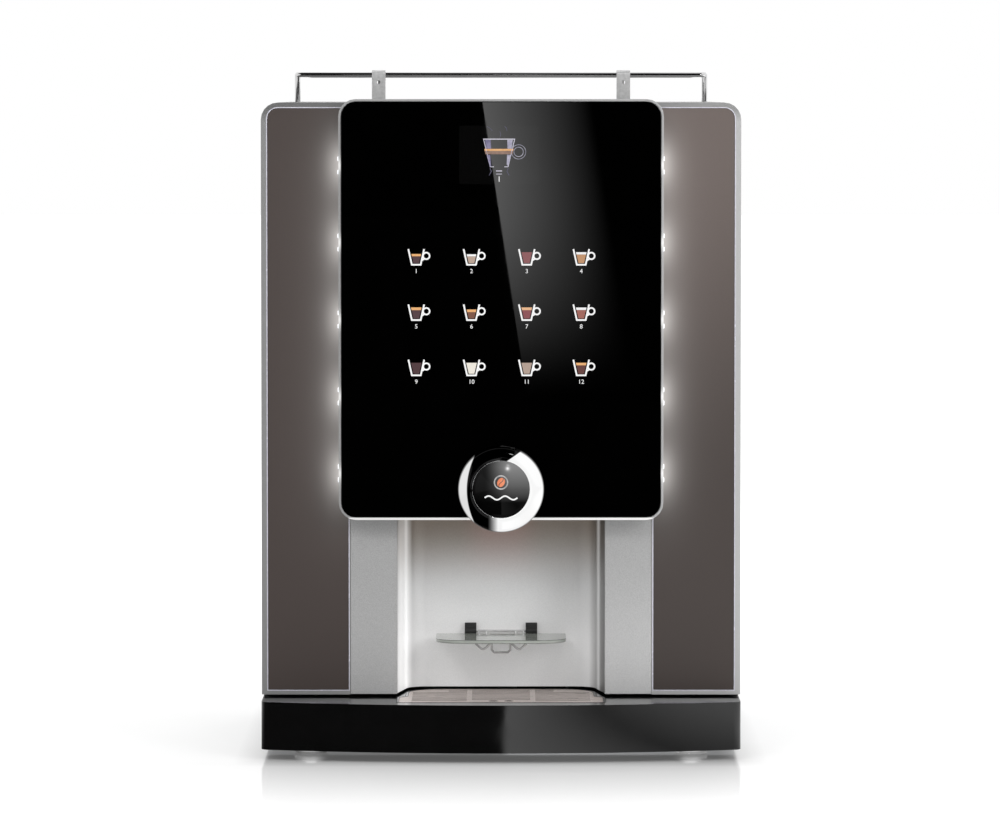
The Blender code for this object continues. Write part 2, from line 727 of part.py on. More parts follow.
def make_lid():
    """The top cover: a shallow box with rounded long edges, open below."""
    low, high = (-BODY_HALF_WIDTH, LID_BOTTOM), (BODY_HALF_WIDTH, BODY_TOP)
    radii = (0.0, 0.0, TOP_CORNER_RADIUS, TOP_CORNER_RADIUS)
    lid = prism(rounded(low, high, radii), CABINET_FRONT_Y, LID_REAR_Y, "y")
    lid = piece("top_lid", lid, "silver", "lid")
    inner_low = (-BODY_HALF_WIDTH + SHEET, LID_BOTTOM - CUT)
    inner_radius = TOP_CORNER_RADIUS - SHEET
    inner_high = (BODY_HALF_WIDTH - SHEET, BODY_TOP - SHEET)
    inner = rounded(inner_low, inner_high, (0.0, 0.0, inner_radius, inner_radius))
    cut(lid, prism(inner, CABINET_FRONT_Y + SHEET, LID_REAR_Y - SHEET, "y"))


def make_rail():
    """A closed wire ring on four legs round the top, where cups stand."""
    low, high = (-RAIL_HALF_WIDTH, RAIL_FRONT_Y), (RAIL_HALF_WIDTH, RAIL_REAR_Y)
    path = [(x, y, RAIL_Z) for x, y in rounded(low, high, [RAIL_BEND] * 4)]
    rail = piece("rail_ring", wire(path, RAIL_WIRE_RADIUS, closed=True), "chrome", "lid")
    feet = [(side * RAIL_HALF_WIDTH, RAIL_FRONT_Y + 0.006) for side in (-1, 1)]
    feet += [(side * (CLIP_X + 0.006), RAIL_REAR_Y) for side in (-1, 1)]
    legs = [rod(RAIL_LEG_RADIUS, BODY_TOP + GAP, RAIL_Z, (x, y, 0), steps=12) for x, y in feet]
    weld(rail, together(legs))


def make_rail_clips():
    """Bent flat posts in front of the rail that hook over its wire."""
    reach = RAIL_WIRE_RADIUS + 0.0013
    foot_z = BODY_TOP + GAP + CLIP_SHEET / 2
    path = [(RAIL_FRONT_Y + 0.014, foot_z), (RAIL_FRONT_Y - reach, foot_z)]
    path += arc((RAIL_FRONT_Y, RAIL_Z), reach, 180, 20, 6)
    section = thick_path(path, CLIP_SHEET)
    for side, x in (("left", -CLIP_X), ("right", CLIP_X)):
        clip = prism(section, x - CLIP_WIDTH / 2, x + CLIP_WIDTH / 2, "x")
        post = piece(f"rail_clip_{side}", clip, "chrome", "lid")
        hole_at = (x, 0, RAIL_Z - 0.009)
        cut(post, rod(0.0022, RAIL_FRONT_Y - CUT, RAIL_FRONT_Y, hole_at, "y", 10))


# ---------------------------------------------------------------- door


def make_door_frame():
    """The silver frame: a pocketed front plate, a flange all round and lugs for the hinge pins."""
    plate_rear = DOOR_FACE_Y + DOOR_PLATE
    front_y, rear_y = DOOR_FACE_Y - CUT, DOOR_REAR_Y + CUT
    frame = prism(door_outline(0.0), DOOR_FACE_Y, DOOR_REAR_Y, "y")
    frame = piece("door_frame", frame, "silver", "door")
    cut(frame, prism(door_outline(SHEET), plate_rear, rear_y, "y"))
    cut(frame, block((-0.128, plate_rear, DOOR_BOTTOM - CUT), (0.128, rear_y, DOOR_BOTTOM + 0.005)))
    niche = rectangle((-NICHE_HALF_WIDTH, 0.05), (NICHE_HALF_WIDTH, 0.340))
    window = rectangle((-0.150, 0.355), (0.150, 0.740))
    cut(frame, together([prism(shape, front_y, rear_y, "y") for shape in (niche, window)]))
    pocket_rear = DOOR_FACE_Y + POCKET_DEPTH
    for outline in (panel_outline, column_outline):
        cut(frame, together([prism(outline(side, 0.0), front_y, pocket_rear, "y") for side in (-1, 1)]))
    add_hinge_lugs(frame, plate_rear)
    keyhole_centre = (0, LOCK_Y, LOCK_Z)
    cut(frame, rod(LOCK_RADIUS + GAP, 0.270, BODY_HALF_WIDTH + CUT, keyhole_centre, "x", 20))


def add_hinge_lugs(frame, plate_rear):
    """Lugs behind the frame's left edge, bored for the hinge pins."""
    pin_x, pin_y, _ = DOOR_PIVOT
    outer_x = pin_x - 0.0045
    lug = arc((pin_x, pin_y), LUG_RADIUS, 0, 90, 4) + [(outer_x, pin_y + LUG_RADIUS)]
    lug += [(outer_x, plate_rear - BITE), (pin_x + LUG_RADIUS, plate_rear - BITE)]
    levels = [z + HINGE_PLATE + 0.0005 for z in HINGE_HEIGHTS.values()]
    weld(frame, together([prism(lug, z, z + LUG_THICKNESS) for z in levels]))
    bore_radius = PIN_RADIUS + PIN_CLEARANCE
    bores = [rod(bore_radius, z - CUT, z + 2 * CUT, (pin_x, pin_y, 0), steps=24) for z in levels]
    cut(frame, together(bores))


def make_door_panels():
    """The brown side panels and the satin columns, each in its own pocket of the frame."""
    front_y = DOOR_FACE_Y + PANEL_RECESS
    rear_y = DOOR_FACE_Y + POCKET_DEPTH - GAP
    for side, sign in (("left", -1), ("right", 1)):
        panel = prism(panel_outline(sign, GAP), front_y, rear_y, "y")
        piece(f"door_panel_{side}", panel, "brown", "door")
        column = prism(column_outline(sign, GAP), front_y, rear_y, "y")
        piece(f"niche_column_{side}", column, "satin_column", "door")


def make_fascia():
    """The bezel with its overhanging front lip, and the black glass that fills it."""
    rear_y = DOOR_FACE_Y - GAP
    lip_rear = FASCIA_FRONT_Y + LIP_DEPTH
    seat_y = lip_rear - 0.0015
    bezel = prism(fascia_outline(0.0), FASCIA_FRONT_Y, lip_rear, "y")
    bezel = piece("fascia_bezel", bezel, "silver", "door")
    weld(bezel, prism(fascia_outline(LIP_OVERHANG), lip_rear - BITE, rear_y, "y"))
    cut(bezel, prism(fascia_outline(BEZEL_LINE), FASCIA_FRONT_Y - CUT, seat_y, "y"))
    cut(bezel, prism(fascia_outline(0.006), seat_y - BITE, rear_y - 0.003, "y"))
    cable_hole = rectangle((-0.06, 0.50), (0.06, 0.60))
    cut(bezel, prism(cable_hole, rear_y - CUT, rear_y + CUT, "y"))
    glass = prism(fascia_outline(BEZEL_LINE + GAP), FASCIA_FRONT_Y - GLASS_PROUD, seat_y - GAP, "y")
    piece("fascia_glass", glass, "black_glass", "door")


def make_display():
    """The display's case behind the glass, with a smaller step on its back."""
    lip_rear = FASCIA_FRONT_Y + LIP_DEPTH
    case_rear = lip_rear + 0.012
    low = (-DISPLAY_HALF_WIDTH, lip_rear, DISPLAY_BOTTOM)
    case = block(low, (DISPLAY_HALF_WIDTH, case_rear, DISPLAY_TOP))
    display = piece("display_module", case, "black_matt", "door")
    step_half = DISPLAY_HALF_WIDTH - DISPLAY_CASE_STEP
    step_low = (-step_half, case_rear - 2 * BITE, DISPLAY_BOTTOM + DISPLAY_CASE_STEP)
    step_high = (step_half, DOOR_FACE_Y - 0.004, DISPLAY_TOP - DISPLAY_CASE_STEP)
    weld(display, block(step_low, step_high))


def led_heights():
    lowest = [LED_LOWEST_Z + i * LED_PAIR_PITCH for i in range(LED_PAIRS)]
    return [z + step for z in lowest for step in (0.0, LED_PAIR_GAP)]


def make_led_strips():
    """Light bars on the bezel's sides, with a small lens at each lamp."""
    inner = FASCIA_HALF_WIDTH - LIP_OVERHANG + GAP
    outer = inner + LED_BAR_WIDTH
    tip = outer + LED_LENS_RISE
    bottom = LED_LOWEST_Z - LED_BAR_END
    right = [(inner, bottom), (outer, bottom)]
    for z in led_heights():
        right += [(outer, z - 0.0045), (tip, z - 0.002), (tip, z + 0.002), (outer, z + 0.0045)]
    top = led_heights()[-1] + LED_BAR_END
    right += [(outer, top), (inner, top)]
    front_y = FASCIA_FRONT_Y + LIP_DEPTH + GAP
    for side, sign in (("left", -1), ("right", 1)):
        bar = prism([(sign * x, z) for x, z in right], front_y, front_y + 0.015, "y")
        piece(f"led_strip_{side}", bar, "white_light", "door")


def make_badge():
    """A round chrome ring with a black dome in it, low on the glass."""
    back = FASCIA_FRONT_Y - GLASS_PROUD - GAP
    front = back - BADGE_DEPTH
    inner = DOME_RADIUS + GAP
    ring = [(inner, back), (BADGE_RADIUS, back), (BADGE_RADIUS, back - 0.006), (0.047, front + 0.004)]
    ring += [(0.042, front), (0.038, front + 0.001), (inner, front + 0.005)]
    piece("badge_ring", turned(ring, (0, 0, BADGE_Z), "y", BADGE_STEPS), "chrome", "door")
    dome = [(0, back), (DOME_RADIUS, back), (DOME_RADIUS, front + 0.007)]
    dome += [(0.028, front + 0.0035), (0.016, front + 0.0012), (0, front + 0.0005)]
    piece("badge_dome", turned(dome, (0, 0, BADGE_Z), "y", BADGE_STEPS), "black_gloss", "door")


def make_niche_liner():
    """The cup niche: slanted sides and back in one sheet, and a roof with a slot for the spout."""
    path = niche_path()
    walls = prism(thick_path(path, SHEET), DOOR_BOTTOM + GAP, NICHE_TOP + SHEET)
    liner = piece("niche_liner", walls, "satin_column", "door")
    weld(liner, prism(path, NICHE_TOP, NICHE_TOP + SHEET))
    slot_low = (-SPOUT_X, SPOUT_Y - 0.015, NICHE_TOP - CUT)
    cut(liner, block(slot_low, (SPOUT_X, SPOUT_Y + 0.015, NICHE_TOP + CUT)))


def make_spout():
    """The outlet block under the niche's roof, with two bored nozzles."""
    head_bottom, nozzle_bottom = 0.296, 0.281
    head_high = (0.028, SPOUT_Y + 0.025, NICHE_TOP - GAP)
    head = block((-0.028, SPOUT_Y - 0.025, head_bottom), head_high)
    spout = piece("spout", head, "black_matt", "door")
    neck = 0.015 - GAP
    neck_low = (-neck, SPOUT_Y - neck, NICHE_TOP - 0.003)
    weld(spout, block(neck_low, (neck, SPOUT_Y + neck, NICHE_TOP + 0.010)))
    spots = [(x, SPOUT_Y, 0) for x in (-SPOUT_X, SPOUT_X)]
    weld(spout, together([rod(NOZZLE_RADIUS, nozzle_bottom, head_bottom + 0.002, spot) for spot in spots]))
    bore_low, bore_high = nozzle_bottom - CUT, 0.320
    bores = [rod(NOZZLE_BORE_RADIUS, bore_low, bore_high, spot, steps=12) for spot in spots]
    cut(spout, together(bores))


def make_shelf_brackets():
    """Two blocks on the niche's back wall that the cup shelf's rod turns in."""
    _, y, z = SHELF_PIVOT
    back = NICHE_BACK_Y - GAP
    top = z + 0.0095
    section = [(back, z - 0.007)] + arc((y, z), 0.0048, 270, 90, 8)
    section += [(y + 0.0005, top), (back, top)]
    for side, sign in (("left", -1), ("right", 1)):
        low, high = sorted((sign * BRACKET_INNER_X, sign * BRACKET_OUTER_X))
        bracket = piece(f"shelf_bracket_{side}", prism(section, low, high, "x"), "black_matt", "door")
        cut(bracket, rod(ROD_RADIUS + 0.0002, low - CUT, high + CUT, (0, y, z), "x", 16))


def make_cup_shelf():
    """A D-shaped glass on a wire frame. A wire loop leans on the back wall and keeps it level."""
    half, back_y, front_y = SHELF_GLASS_HALF_WIDTH, SHELF_GLASS_BACK_Y, SHELF_GLASS_FRONT_Y
    corner = SHELF_GLASS_RADIUS
    left = arc((corner - half, front_y + corner), corner, 180, 270, 8)
    outline = [(-half, back_y)] + left + [(-x, y) for x, y in left[::-1]] + [(half, back_y)]
    glass = prism(outline, SHELF_GLASS_Z, SHELF_GLASS_Z + SHELF_GLASS)
    piece("cup_shelf_glass", glass, "clear_glass", "cup_shelf")
    _, pivot_y, pivot_z = SHELF_PIVOT
    reach = BRACKET_OUTER_X - 0.004
    spindle = wire([(-reach, pivot_y, pivot_z), (reach, pivot_y, pivot_z)], ROD_RADIUS)
    frame = piece("cup_shelf_wire", spindle, "chrome", "cup_shelf")
    for sign in (-1, 1):
        weld(frame, wire(shelf_arm(sign), WIRE_RADIUS))
    bar = [(x, SHELF_BAR_Y, SHELF_WIRE_Z) for x in (-0.0275, 0.0275)]
    weld(frame, wire(bar, WIRE_RADIUS))
    stay = [(0.011, SHELF_BAR_Y, SHELF_WIRE_Z), (0.011, -0.120, SHELF_WIRE_Z - 0.004)]
    stay += [(0.011, -0.1052, 0.114), (0.008, -0.1048, 0.111)]
    weld(frame, wire(stay + [(-x, y, z) for x, y, z in stay[::-1]], WIRE_RADIUS))


def shelf_arm(sign):
    """The path of one arm: from the rod down under the glass, round a tip and back to the rod."""
    _, pivot_y, pivot_z = SHELF_PIVOT
    outer, inner = sign * 0.0265, sign * 0.0170
    bend_y, straight_y, tip_y = -0.1125, -0.140, -0.178
    arm = [(outer, pivot_y, pivot_z), (outer, bend_y, SHELF_WIRE_Z), (outer, straight_y, SHELF_WIRE_Z)]
    arm.append(((outer + inner) / 2, tip_y, SHELF_WIRE_Z))
    arm += [(inner, straight_y, SHELF_WIRE_Z), (inner, bend_y, SHELF_WIRE_Z), (inner, pivot_y, pivot_z)]
    return arm


def make_lock():
    """A key cylinder in the door's right flange and the hooked cam that it turns."""
    cylinder = rod(LOCK_RADIUS, LOCK_INNER_X, BODY_HALF_WIDTH - GAP, (0, LOCK_Y, LOCK_Z), "x", 20)
    lock = piece("lock_cylinder", cylinder, "chrome", "door")
    keyhole_low = (0.270, LOCK_Y - 0.0012, LOCK_Z - 0.0045)
    cut(lock, block(keyhole_low, (BODY_HALF_WIDTH + CUT, LOCK_Y + 0.0012, LOCK_Z + 0.0045)))
    low_x = LOCK_INNER_X - GAP - CAM_THICKNESS
    tail_y, neck_y, hook_y = LOCK_Y - 0.006, -0.135, -0.128
    arm_low, arm_high, hook_low = LOCK_Z - 0.005, LOCK_Z + 0.005, LOCK_Z - 0.017
    outline = [(tail_y, arm_low), (neck_y, arm_low), (neck_y, hook_low)]
    outline += [(hook_y, hook_low), (hook_y, arm_high), (tail_y, arm_high)]
    piece("lock_cam", prism(outline, low_x, low_x + CAM_THICKNESS, "x"), "steel", "lock_cam")


# ---------------------------------------------------------------- inside


def make_bean_hopper():
    """A funnel-bottomed hopper that narrows onto the grinder, and its loose lid."""
    x, y = GRINDER_XY
    low, high = HOPPER_LOW, HOPPER_HIGH
    half_throat = 0.026
    throat = ((x - half_throat, y - half_throat), (x + half_throat, y + half_throat))
    levels = [(HOPPER_THROAT_Z, *throat), (0.645, low, high), (CANISTER_TOP, low, high)]
    hopper = piece("bean_hopper", lofted(levels), "clear_plastic")
    inner = []
    for z, corner_low, corner_high in [(0.540, *throat), *levels[:2], (CANISTER_TOP + CUT, low, high)]:
        inner.append((z, [v + HOPPER_WALL for v in corner_low], [v - HOPPER_WALL for v in corner_high]))
    cut(hopper, lofted(inner))
    lid = block((*low, CANISTER_TOP + GAP), (*high, CANISTER_TOP + LOOSE_LID))
    lid = piece("hopper_lid", lid, "grey_plastic")
    weld(lid, block((-0.200, 0.060, CANISTER_TOP + 0.003), (-0.150, 0.072, CANISTER_TOP + 0.012)))


def make_grinder():
    """The grinder under the hopper, with a chute towards the brewing unit."""
    x, y = GRINDER_XY
    top = HOPPER_THROAT_Z - GAP
    foot, case, neck = 0.036, 0.045, 0.028
    profile = [(0, DECK_TOP), (foot, DECK_TOP), (foot, 0.435), (case, 0.442), (case, 0.515)]
    profile += [(neck, 0.530), (neck, top), (0, top)]
    grinder = piece("grinder", turned(profile, (x, y, 0)), "grey_plastic")
    weld(grinder, block((x - 0.018, -0.015, 0.455), (x + 0.018, y - 0.020, 0.490)))
    cut(grinder, rod(0.020, 0.532, 0.570, (x, y, 0)))


def make_brew_unit():
    """The brewing chamber on its stand, with a piston that squeezes the coffee in it."""
    x, y = BREW_XY
    stand = block((x - 0.050, y - 0.045, DECK_TOP), (x + 0.050, y + 0.045, 0.380))
    unit = piece("brew_unit", stand, "grey_plastic")
    weld(unit, block((x - 0.043, y + 0.031, 0.377), (x + 0.043, y + 0.043, 0.520)))
    weld(unit, rod(0.035, 0.375, 0.490, (x, y, 0), steps=24))
    cut(unit, rod(BREW_BORE_RADIUS, 0.390, 0.500, (x, y, 0), steps=24))
    stem, stem_top = 0.006, 0.500
    profile = [(0, PISTON_Z), (PISTON_RADIUS, PISTON_Z), (PISTON_RADIUS, PISTON_Z + 0.014)]
    profile += [(stem, PISTON_Z + 0.018), (stem, stem_top), (0, stem_top)]
    piece("brew_piston", turned(profile, (x, y, 0)), "steel", "brew_piston")


def canister_levels(x, inset, bottom, top):
    """The canister as rectangles in height: a trough for the auger, a funnel and a straight bin."""
    front, rear = CANISTER_FRONT_Y + inset, CANISTER_REAR_Y - inset
    wide, narrow = CANISTER_HALF_WIDTH - inset, 0.025 - inset
    return [
        (bottom, (x - narrow, front), (x + narrow, rear)),
        (0.540, (x - narrow, front), (x + narrow, rear)),
        (0.590, (x - wide, front), (x + wide, rear)),
        (top, (x - wide, front), (x + wide, rear)),
    ]


def make_canisters():
    """Powder canisters with a nozzle at the front and a bore for the auger's drive at the back."""
    wall = CANISTER_WALL
    front, rear = CANISTER_FRONT_Y, CANISTER_REAR_Y
    for side, x in CANISTERS.items():
        axis = (x, 0, AUGER_Z)
        levels = canister_levels(x, 0.0, SHELF_TOP, CANISTER_TOP)
        canister = piece(f"canister_{side}", lofted(levels), "white_plastic")
        weld(canister, rod(NOZZLE_OUTER_RADIUS, front - 0.032, front + BITE, axis, "y"))
        cut(canister, lofted(canister_levels(x, wall, SHELF_TOP + wall, CANISTER_TOP + CUT)))
        cut(canister, rod(NOZZLE_INNER_RADIUS, front - 0.040, front + CUT, axis, "y"))
        cut(canister, rod(AUGER_SHAFT_RADIUS + GAP, rear - CUT, rear + CUT, axis, "y"))
        low = (x - CANISTER_HALF_WIDTH, front, CANISTER_TOP + GAP)
        lid = block(low, (x + CANISTER_HALF_WIDTH, rear, CANISTER_TOP + LOOSE_LID))
        lid = piece(f"canister_lid_{side}", lid, "grey_plastic")
        weld(lid, block((x - 0.025, 0.080, CANISTER_TOP + 0.003), (x + 0.025, 0.092, CANISTER_TOP + 0.012)))


def make_augers():
    """A helical flight on a shaft, from inside the nozzle to behind the canister."""
    start_y, end_y = CANISTER_FRONT_Y - 0.028, CANISTER_REAR_Y - 0.008
    for side, x in CANISTERS.items():
        flight = auger_flight(x, start_y, end_y)
        auger = piece(f"auger_{side}", flight, "white_plastic", f"auger_{side}")
        shaft_end = CANISTER_REAR_Y + 0.030
        weld(auger, rod(AUGER_SHAFT_RADIUS, start_y - 0.003, shaft_end, (x, 0, AUGER_Z), "y", 8))


def auger_flight(x, start_y, end_y):
    """A thin rectangle swept along a helix, from inside the shaft to the flight's outer edge."""
    count = round((end_y - start_y) / AUGER_PITCH * AUGER_STEPS)
    root = 0.0025
    half = AUGER_FLIGHT / 2
    section = ((root, -half), (AUGER_RADIUS, -half), (AUGER_RADIUS, half), (root, half))
    bm = bmesh.new()
    rings = []
    for i in range(count + 1):
        turn = 2 * math.pi * i / AUGER_STEPS
        across, up = math.cos(turn), math.sin(turn)
        y = start_y + AUGER_PITCH * i / AUGER_STEPS
        spots = [(x + radius * across, y + shift, AUGER_Z + radius * up) for radius, shift in section]
        rings.append([bm.verts.new(spot) for spot in spots])
    for lower, upper in zip(rings, rings[1:]):
        for k in range(4):
            n = (k + 1) % 4
            bm.faces.new([lower[k], lower[n], upper[n], upper[k]])
    bm.faces.new(rings[0])
    bm.faces.new(rings[-1])
    bmesh.ops.recalc_face_normals(bm, faces=bm.faces)
    return bm


def make_mixing_bowl(side, x):
    """A funnel over a whipper chamber, on a foot, with a small outlet low in the chamber's front."""
    front, rear = BOWL_Y - CHAMBER_HALF_DEPTH, BOWL_Y + CHAMBER_HALF_DEPTH
    axis = (x, 0, WHIPPER_Z)
    funnel = [(0.010, 0.385), (0.012, 0.385), (0.014, 0.410), (0.042, 0.455), (0.042, 0.482)]
    funnel += [(0.040, 0.482), (0.040, 0.456), (0.010, 0.412)]
    bowl = piece(f"mixing_bowl_{side}", turned(funnel, (x, BOWL_Y, 0), steps=18), "white_plastic")
    weld(bowl, rod(CHAMBER_RADIUS, front, rear, axis, "y", 18))
    foot_top = WHIPPER_Z - 0.0155
    weld(bowl, block((x - 0.009, BOWL_Y - 0.011, DECK_TOP), (x + 0.009, BOWL_Y + 0.011, foot_top)))
    cut(bowl, rod(CHAMBER_BORE_RADIUS, front + 0.0025, rear + CUT, axis, "y", 18))
    cut(bowl, rod(0.0090, WHIPPER_Z, 0.414, (x, BOWL_Y, 0), steps=12))
    cut(bowl, rod(0.0035, front - CUT, front + CUT, (x, 0, WHIPPER_Z - 0.011), "y", 8))


def make_whipper(side, x):
    """A notched disc on a hub, on the shaft that comes from its motor."""
    front = BOWL_Y - CHAMBER_HALF_DEPTH
    disc_front, disc_rear = front + 0.008, front + 0.012
    hub, hub_rear, shaft_end = 0.006, front + 0.022, -0.034
    profile = [(0, disc_front), (WHIPPER_RADIUS, disc_front), (WHIPPER_RADIUS, disc_rear)]
    profile += [(hub, front + 0.013), (hub, hub_rear), (WHIPPER_SHAFT_RADIUS, front + 0.024)]
    profile += [(WHIPPER_SHAFT_RADIUS, shaft_end), (0, shaft_end)]
    disc = turned(profile, (x, 0, WHIPPER_Z), "y", 16)
    whipper = piece(f"whipper_{side}", disc, "red_plastic", f"whipper_{side}")
    notches = []
    for low in (WHIPPER_Z - 0.017, WHIPPER_Z + 0.009):
        notches.append(block((x - 0.0015, front, low), (x + 0.0015, front + 0.010, low + 0.008)))
    cut(whipper, together(notches))


def make_mixers():
    """Mixing bowls, the whippers in them, and their motors on one plate."""
    for side, x in CANISTERS.items():
        make_mixing_bowl(side, x)
        make_whipper(side, x)
    plate = block((-0.030, -0.048, DECK_TOP), (0.216, -0.045, 0.410))
    motors = piece("mixer_motors", plate, "zinc")
    axes = [(x, 0, WHIPPER_Z) for x in CANISTERS.values()]
    weld(motors, together([rod(MOTOR_RADIUS, -0.046, -0.005, axis, "y", 20) for axis in axes]))
    bore_radius = WHIPPER_SHAFT_RADIUS + 0.0004
    cut(motors, together([rod(bore_radius, -0.060, -0.030, axis, "y", 16) for axis in axes]))


def make_water_system():
    """The boiler on its foot and the pump beside it, both on the base pan."""
    foot, pipe, pipe_top = 0.030, 0.008, 0.318
    profile = [(0, PAN_FLOOR), (foot, PAN_FLOOR), (foot, 0.050), (0.050, 0.062)]
    profile += [(BOILER_RADIUS, 0.075), (BOILER_RADIUS, 0.270), (0.048, 0.288), (0.020, 0.296)]
    profile += [(pipe, 0.297), (pipe, pipe_top), (0, pipe_top)]
    piece("boiler", turned(profile, (*BOILER_XY, 0)), "black_matt")
    stand = block((PUMP_X - 0.030, 0.215, PAN_FLOOR), (PUMP_X + 0.030, 0.265, 0.055))
    pump = piece("pump", stand, "black_matt")
    weld(pump, rod(PUMP_RADIUS, 0.150, 0.285, (PUMP_X, 0, 0.068), "y", 20))


def make_control_box():
    """The electronics box, hung under the deck, with a row of connector openings."""
    low, high = (-0.095, 0.060, 0.110), (0.100, 0.140, DECK_Z - GAP)
    box = piece("control_box", block(low, high), "grey_plastic")
    starts = (-0.080, -0.050, -0.020, 0.010, 0.040)
    sockets = [block((x, 0.060 - CUT, 0.150), (x + 0.018, 0.066, 0.162)) for x in starts]
    cut(box, together(sockets))


def make_waste_bin():
    """An open bin for used coffee, on the base pan below the brewing unit."""
    levels = [(PAN_FLOOR, *narrowed(BIN_TAPER)), (BIN_TOP, BIN_LOW, BIN_HIGH)]
    waste_bin = piece("waste_bin", lofted(levels), "grey_plastic")
    inner = [(PAN_FLOOR + BIN_WALL, *narrowed(BIN_TAPER + BIN_WALL)), (BIN_TOP + CUT, *narrowed(BIN_WALL))]
    cut(waste_bin, lofted(inner))
    handle_low = (-0.220, BIN_LOW[1] - CUT, 0.255)
    cut(waste_bin, block(handle_low, (-0.172, BIN_LOW[1] + CUT, 0.280)))


def narrowed(by):
    """The bin's two corners from above, moved in by a margin."""
    return [v + by for v in BIN_LOW], [v - by for v in BIN_HIGH]


def main():
    clear_scene()
    for name in PIVOTS:
        add_body(name)
    make_base_fascia()
    make_base_pan()
    make_feet()
    make_drip_tray()
    make_drip_grille()
    make_cabinet_shell()
    make_rear_cover()
    make_inner_deck()
    make_canister_shelf()
    make_door_hinges()
    make_inlets()
    make_lid()
    make_rail()
    make_rail_clips()
    make_door_frame()
    make_door_panels()
    make_fascia()
    make_display()
    make_led_strips()
    make_badge()
    make_niche_liner()
    make_spout()
    make_shelf_brackets()
    make_cup_shelf()
    make_lock()
    make_bean_hopper()
    make_grinder()
    make_brew_unit()
    make_canisters()
    make_augers()
    make_mixers()
    make_water_system()
    make_control_box()
    make_waste_bin()


main()
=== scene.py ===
"""Looks, light and camera for the hot coffee vending machine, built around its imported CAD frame.

Metres in the row frame: +Z up, the front faces -Y, +X is on the viewer's right.
"""

import json
import math

import bmesh
import bpy
from mathutils import Matrix, Vector


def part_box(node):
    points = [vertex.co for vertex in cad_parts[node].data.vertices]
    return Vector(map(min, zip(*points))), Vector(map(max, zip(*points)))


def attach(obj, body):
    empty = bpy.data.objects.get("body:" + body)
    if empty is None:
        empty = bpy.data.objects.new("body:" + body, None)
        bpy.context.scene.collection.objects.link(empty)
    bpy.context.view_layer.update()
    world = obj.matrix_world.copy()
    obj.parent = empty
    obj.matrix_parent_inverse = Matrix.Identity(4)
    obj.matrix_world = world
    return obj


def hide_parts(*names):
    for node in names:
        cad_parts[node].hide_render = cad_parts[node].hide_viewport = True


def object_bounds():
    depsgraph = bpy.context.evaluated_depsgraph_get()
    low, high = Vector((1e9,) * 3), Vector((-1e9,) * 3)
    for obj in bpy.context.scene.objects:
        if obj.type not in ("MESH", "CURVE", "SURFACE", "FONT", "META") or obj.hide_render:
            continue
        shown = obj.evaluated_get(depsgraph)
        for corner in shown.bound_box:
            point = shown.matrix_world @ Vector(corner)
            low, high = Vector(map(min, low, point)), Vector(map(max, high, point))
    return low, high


MM = 0.001
PRINT = 0.00012  # thickness of printed and lit layers on the glass

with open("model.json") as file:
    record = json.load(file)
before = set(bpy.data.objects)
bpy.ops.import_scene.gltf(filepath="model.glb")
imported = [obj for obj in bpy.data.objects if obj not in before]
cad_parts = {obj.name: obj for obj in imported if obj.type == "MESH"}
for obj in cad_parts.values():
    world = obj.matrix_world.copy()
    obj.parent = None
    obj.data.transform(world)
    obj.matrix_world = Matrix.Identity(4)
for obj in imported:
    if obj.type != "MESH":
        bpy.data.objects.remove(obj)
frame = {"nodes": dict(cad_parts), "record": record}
cad_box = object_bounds()
cad = frame["nodes"]


def linear(red, green, blue):
    """A colour given as 0 to 255 screen values, as the renderer's linear values."""
    values = [c / 255 for c in (red, green, blue)]
    return tuple(v / 12.92 if v <= 0.04045 else ((v + 0.055) / 1.055) ** 2.4 for v in values) + (1.0,)


def grey(value):
    return linear(value, value, value)


# ---------------------------------------------------------------- materials


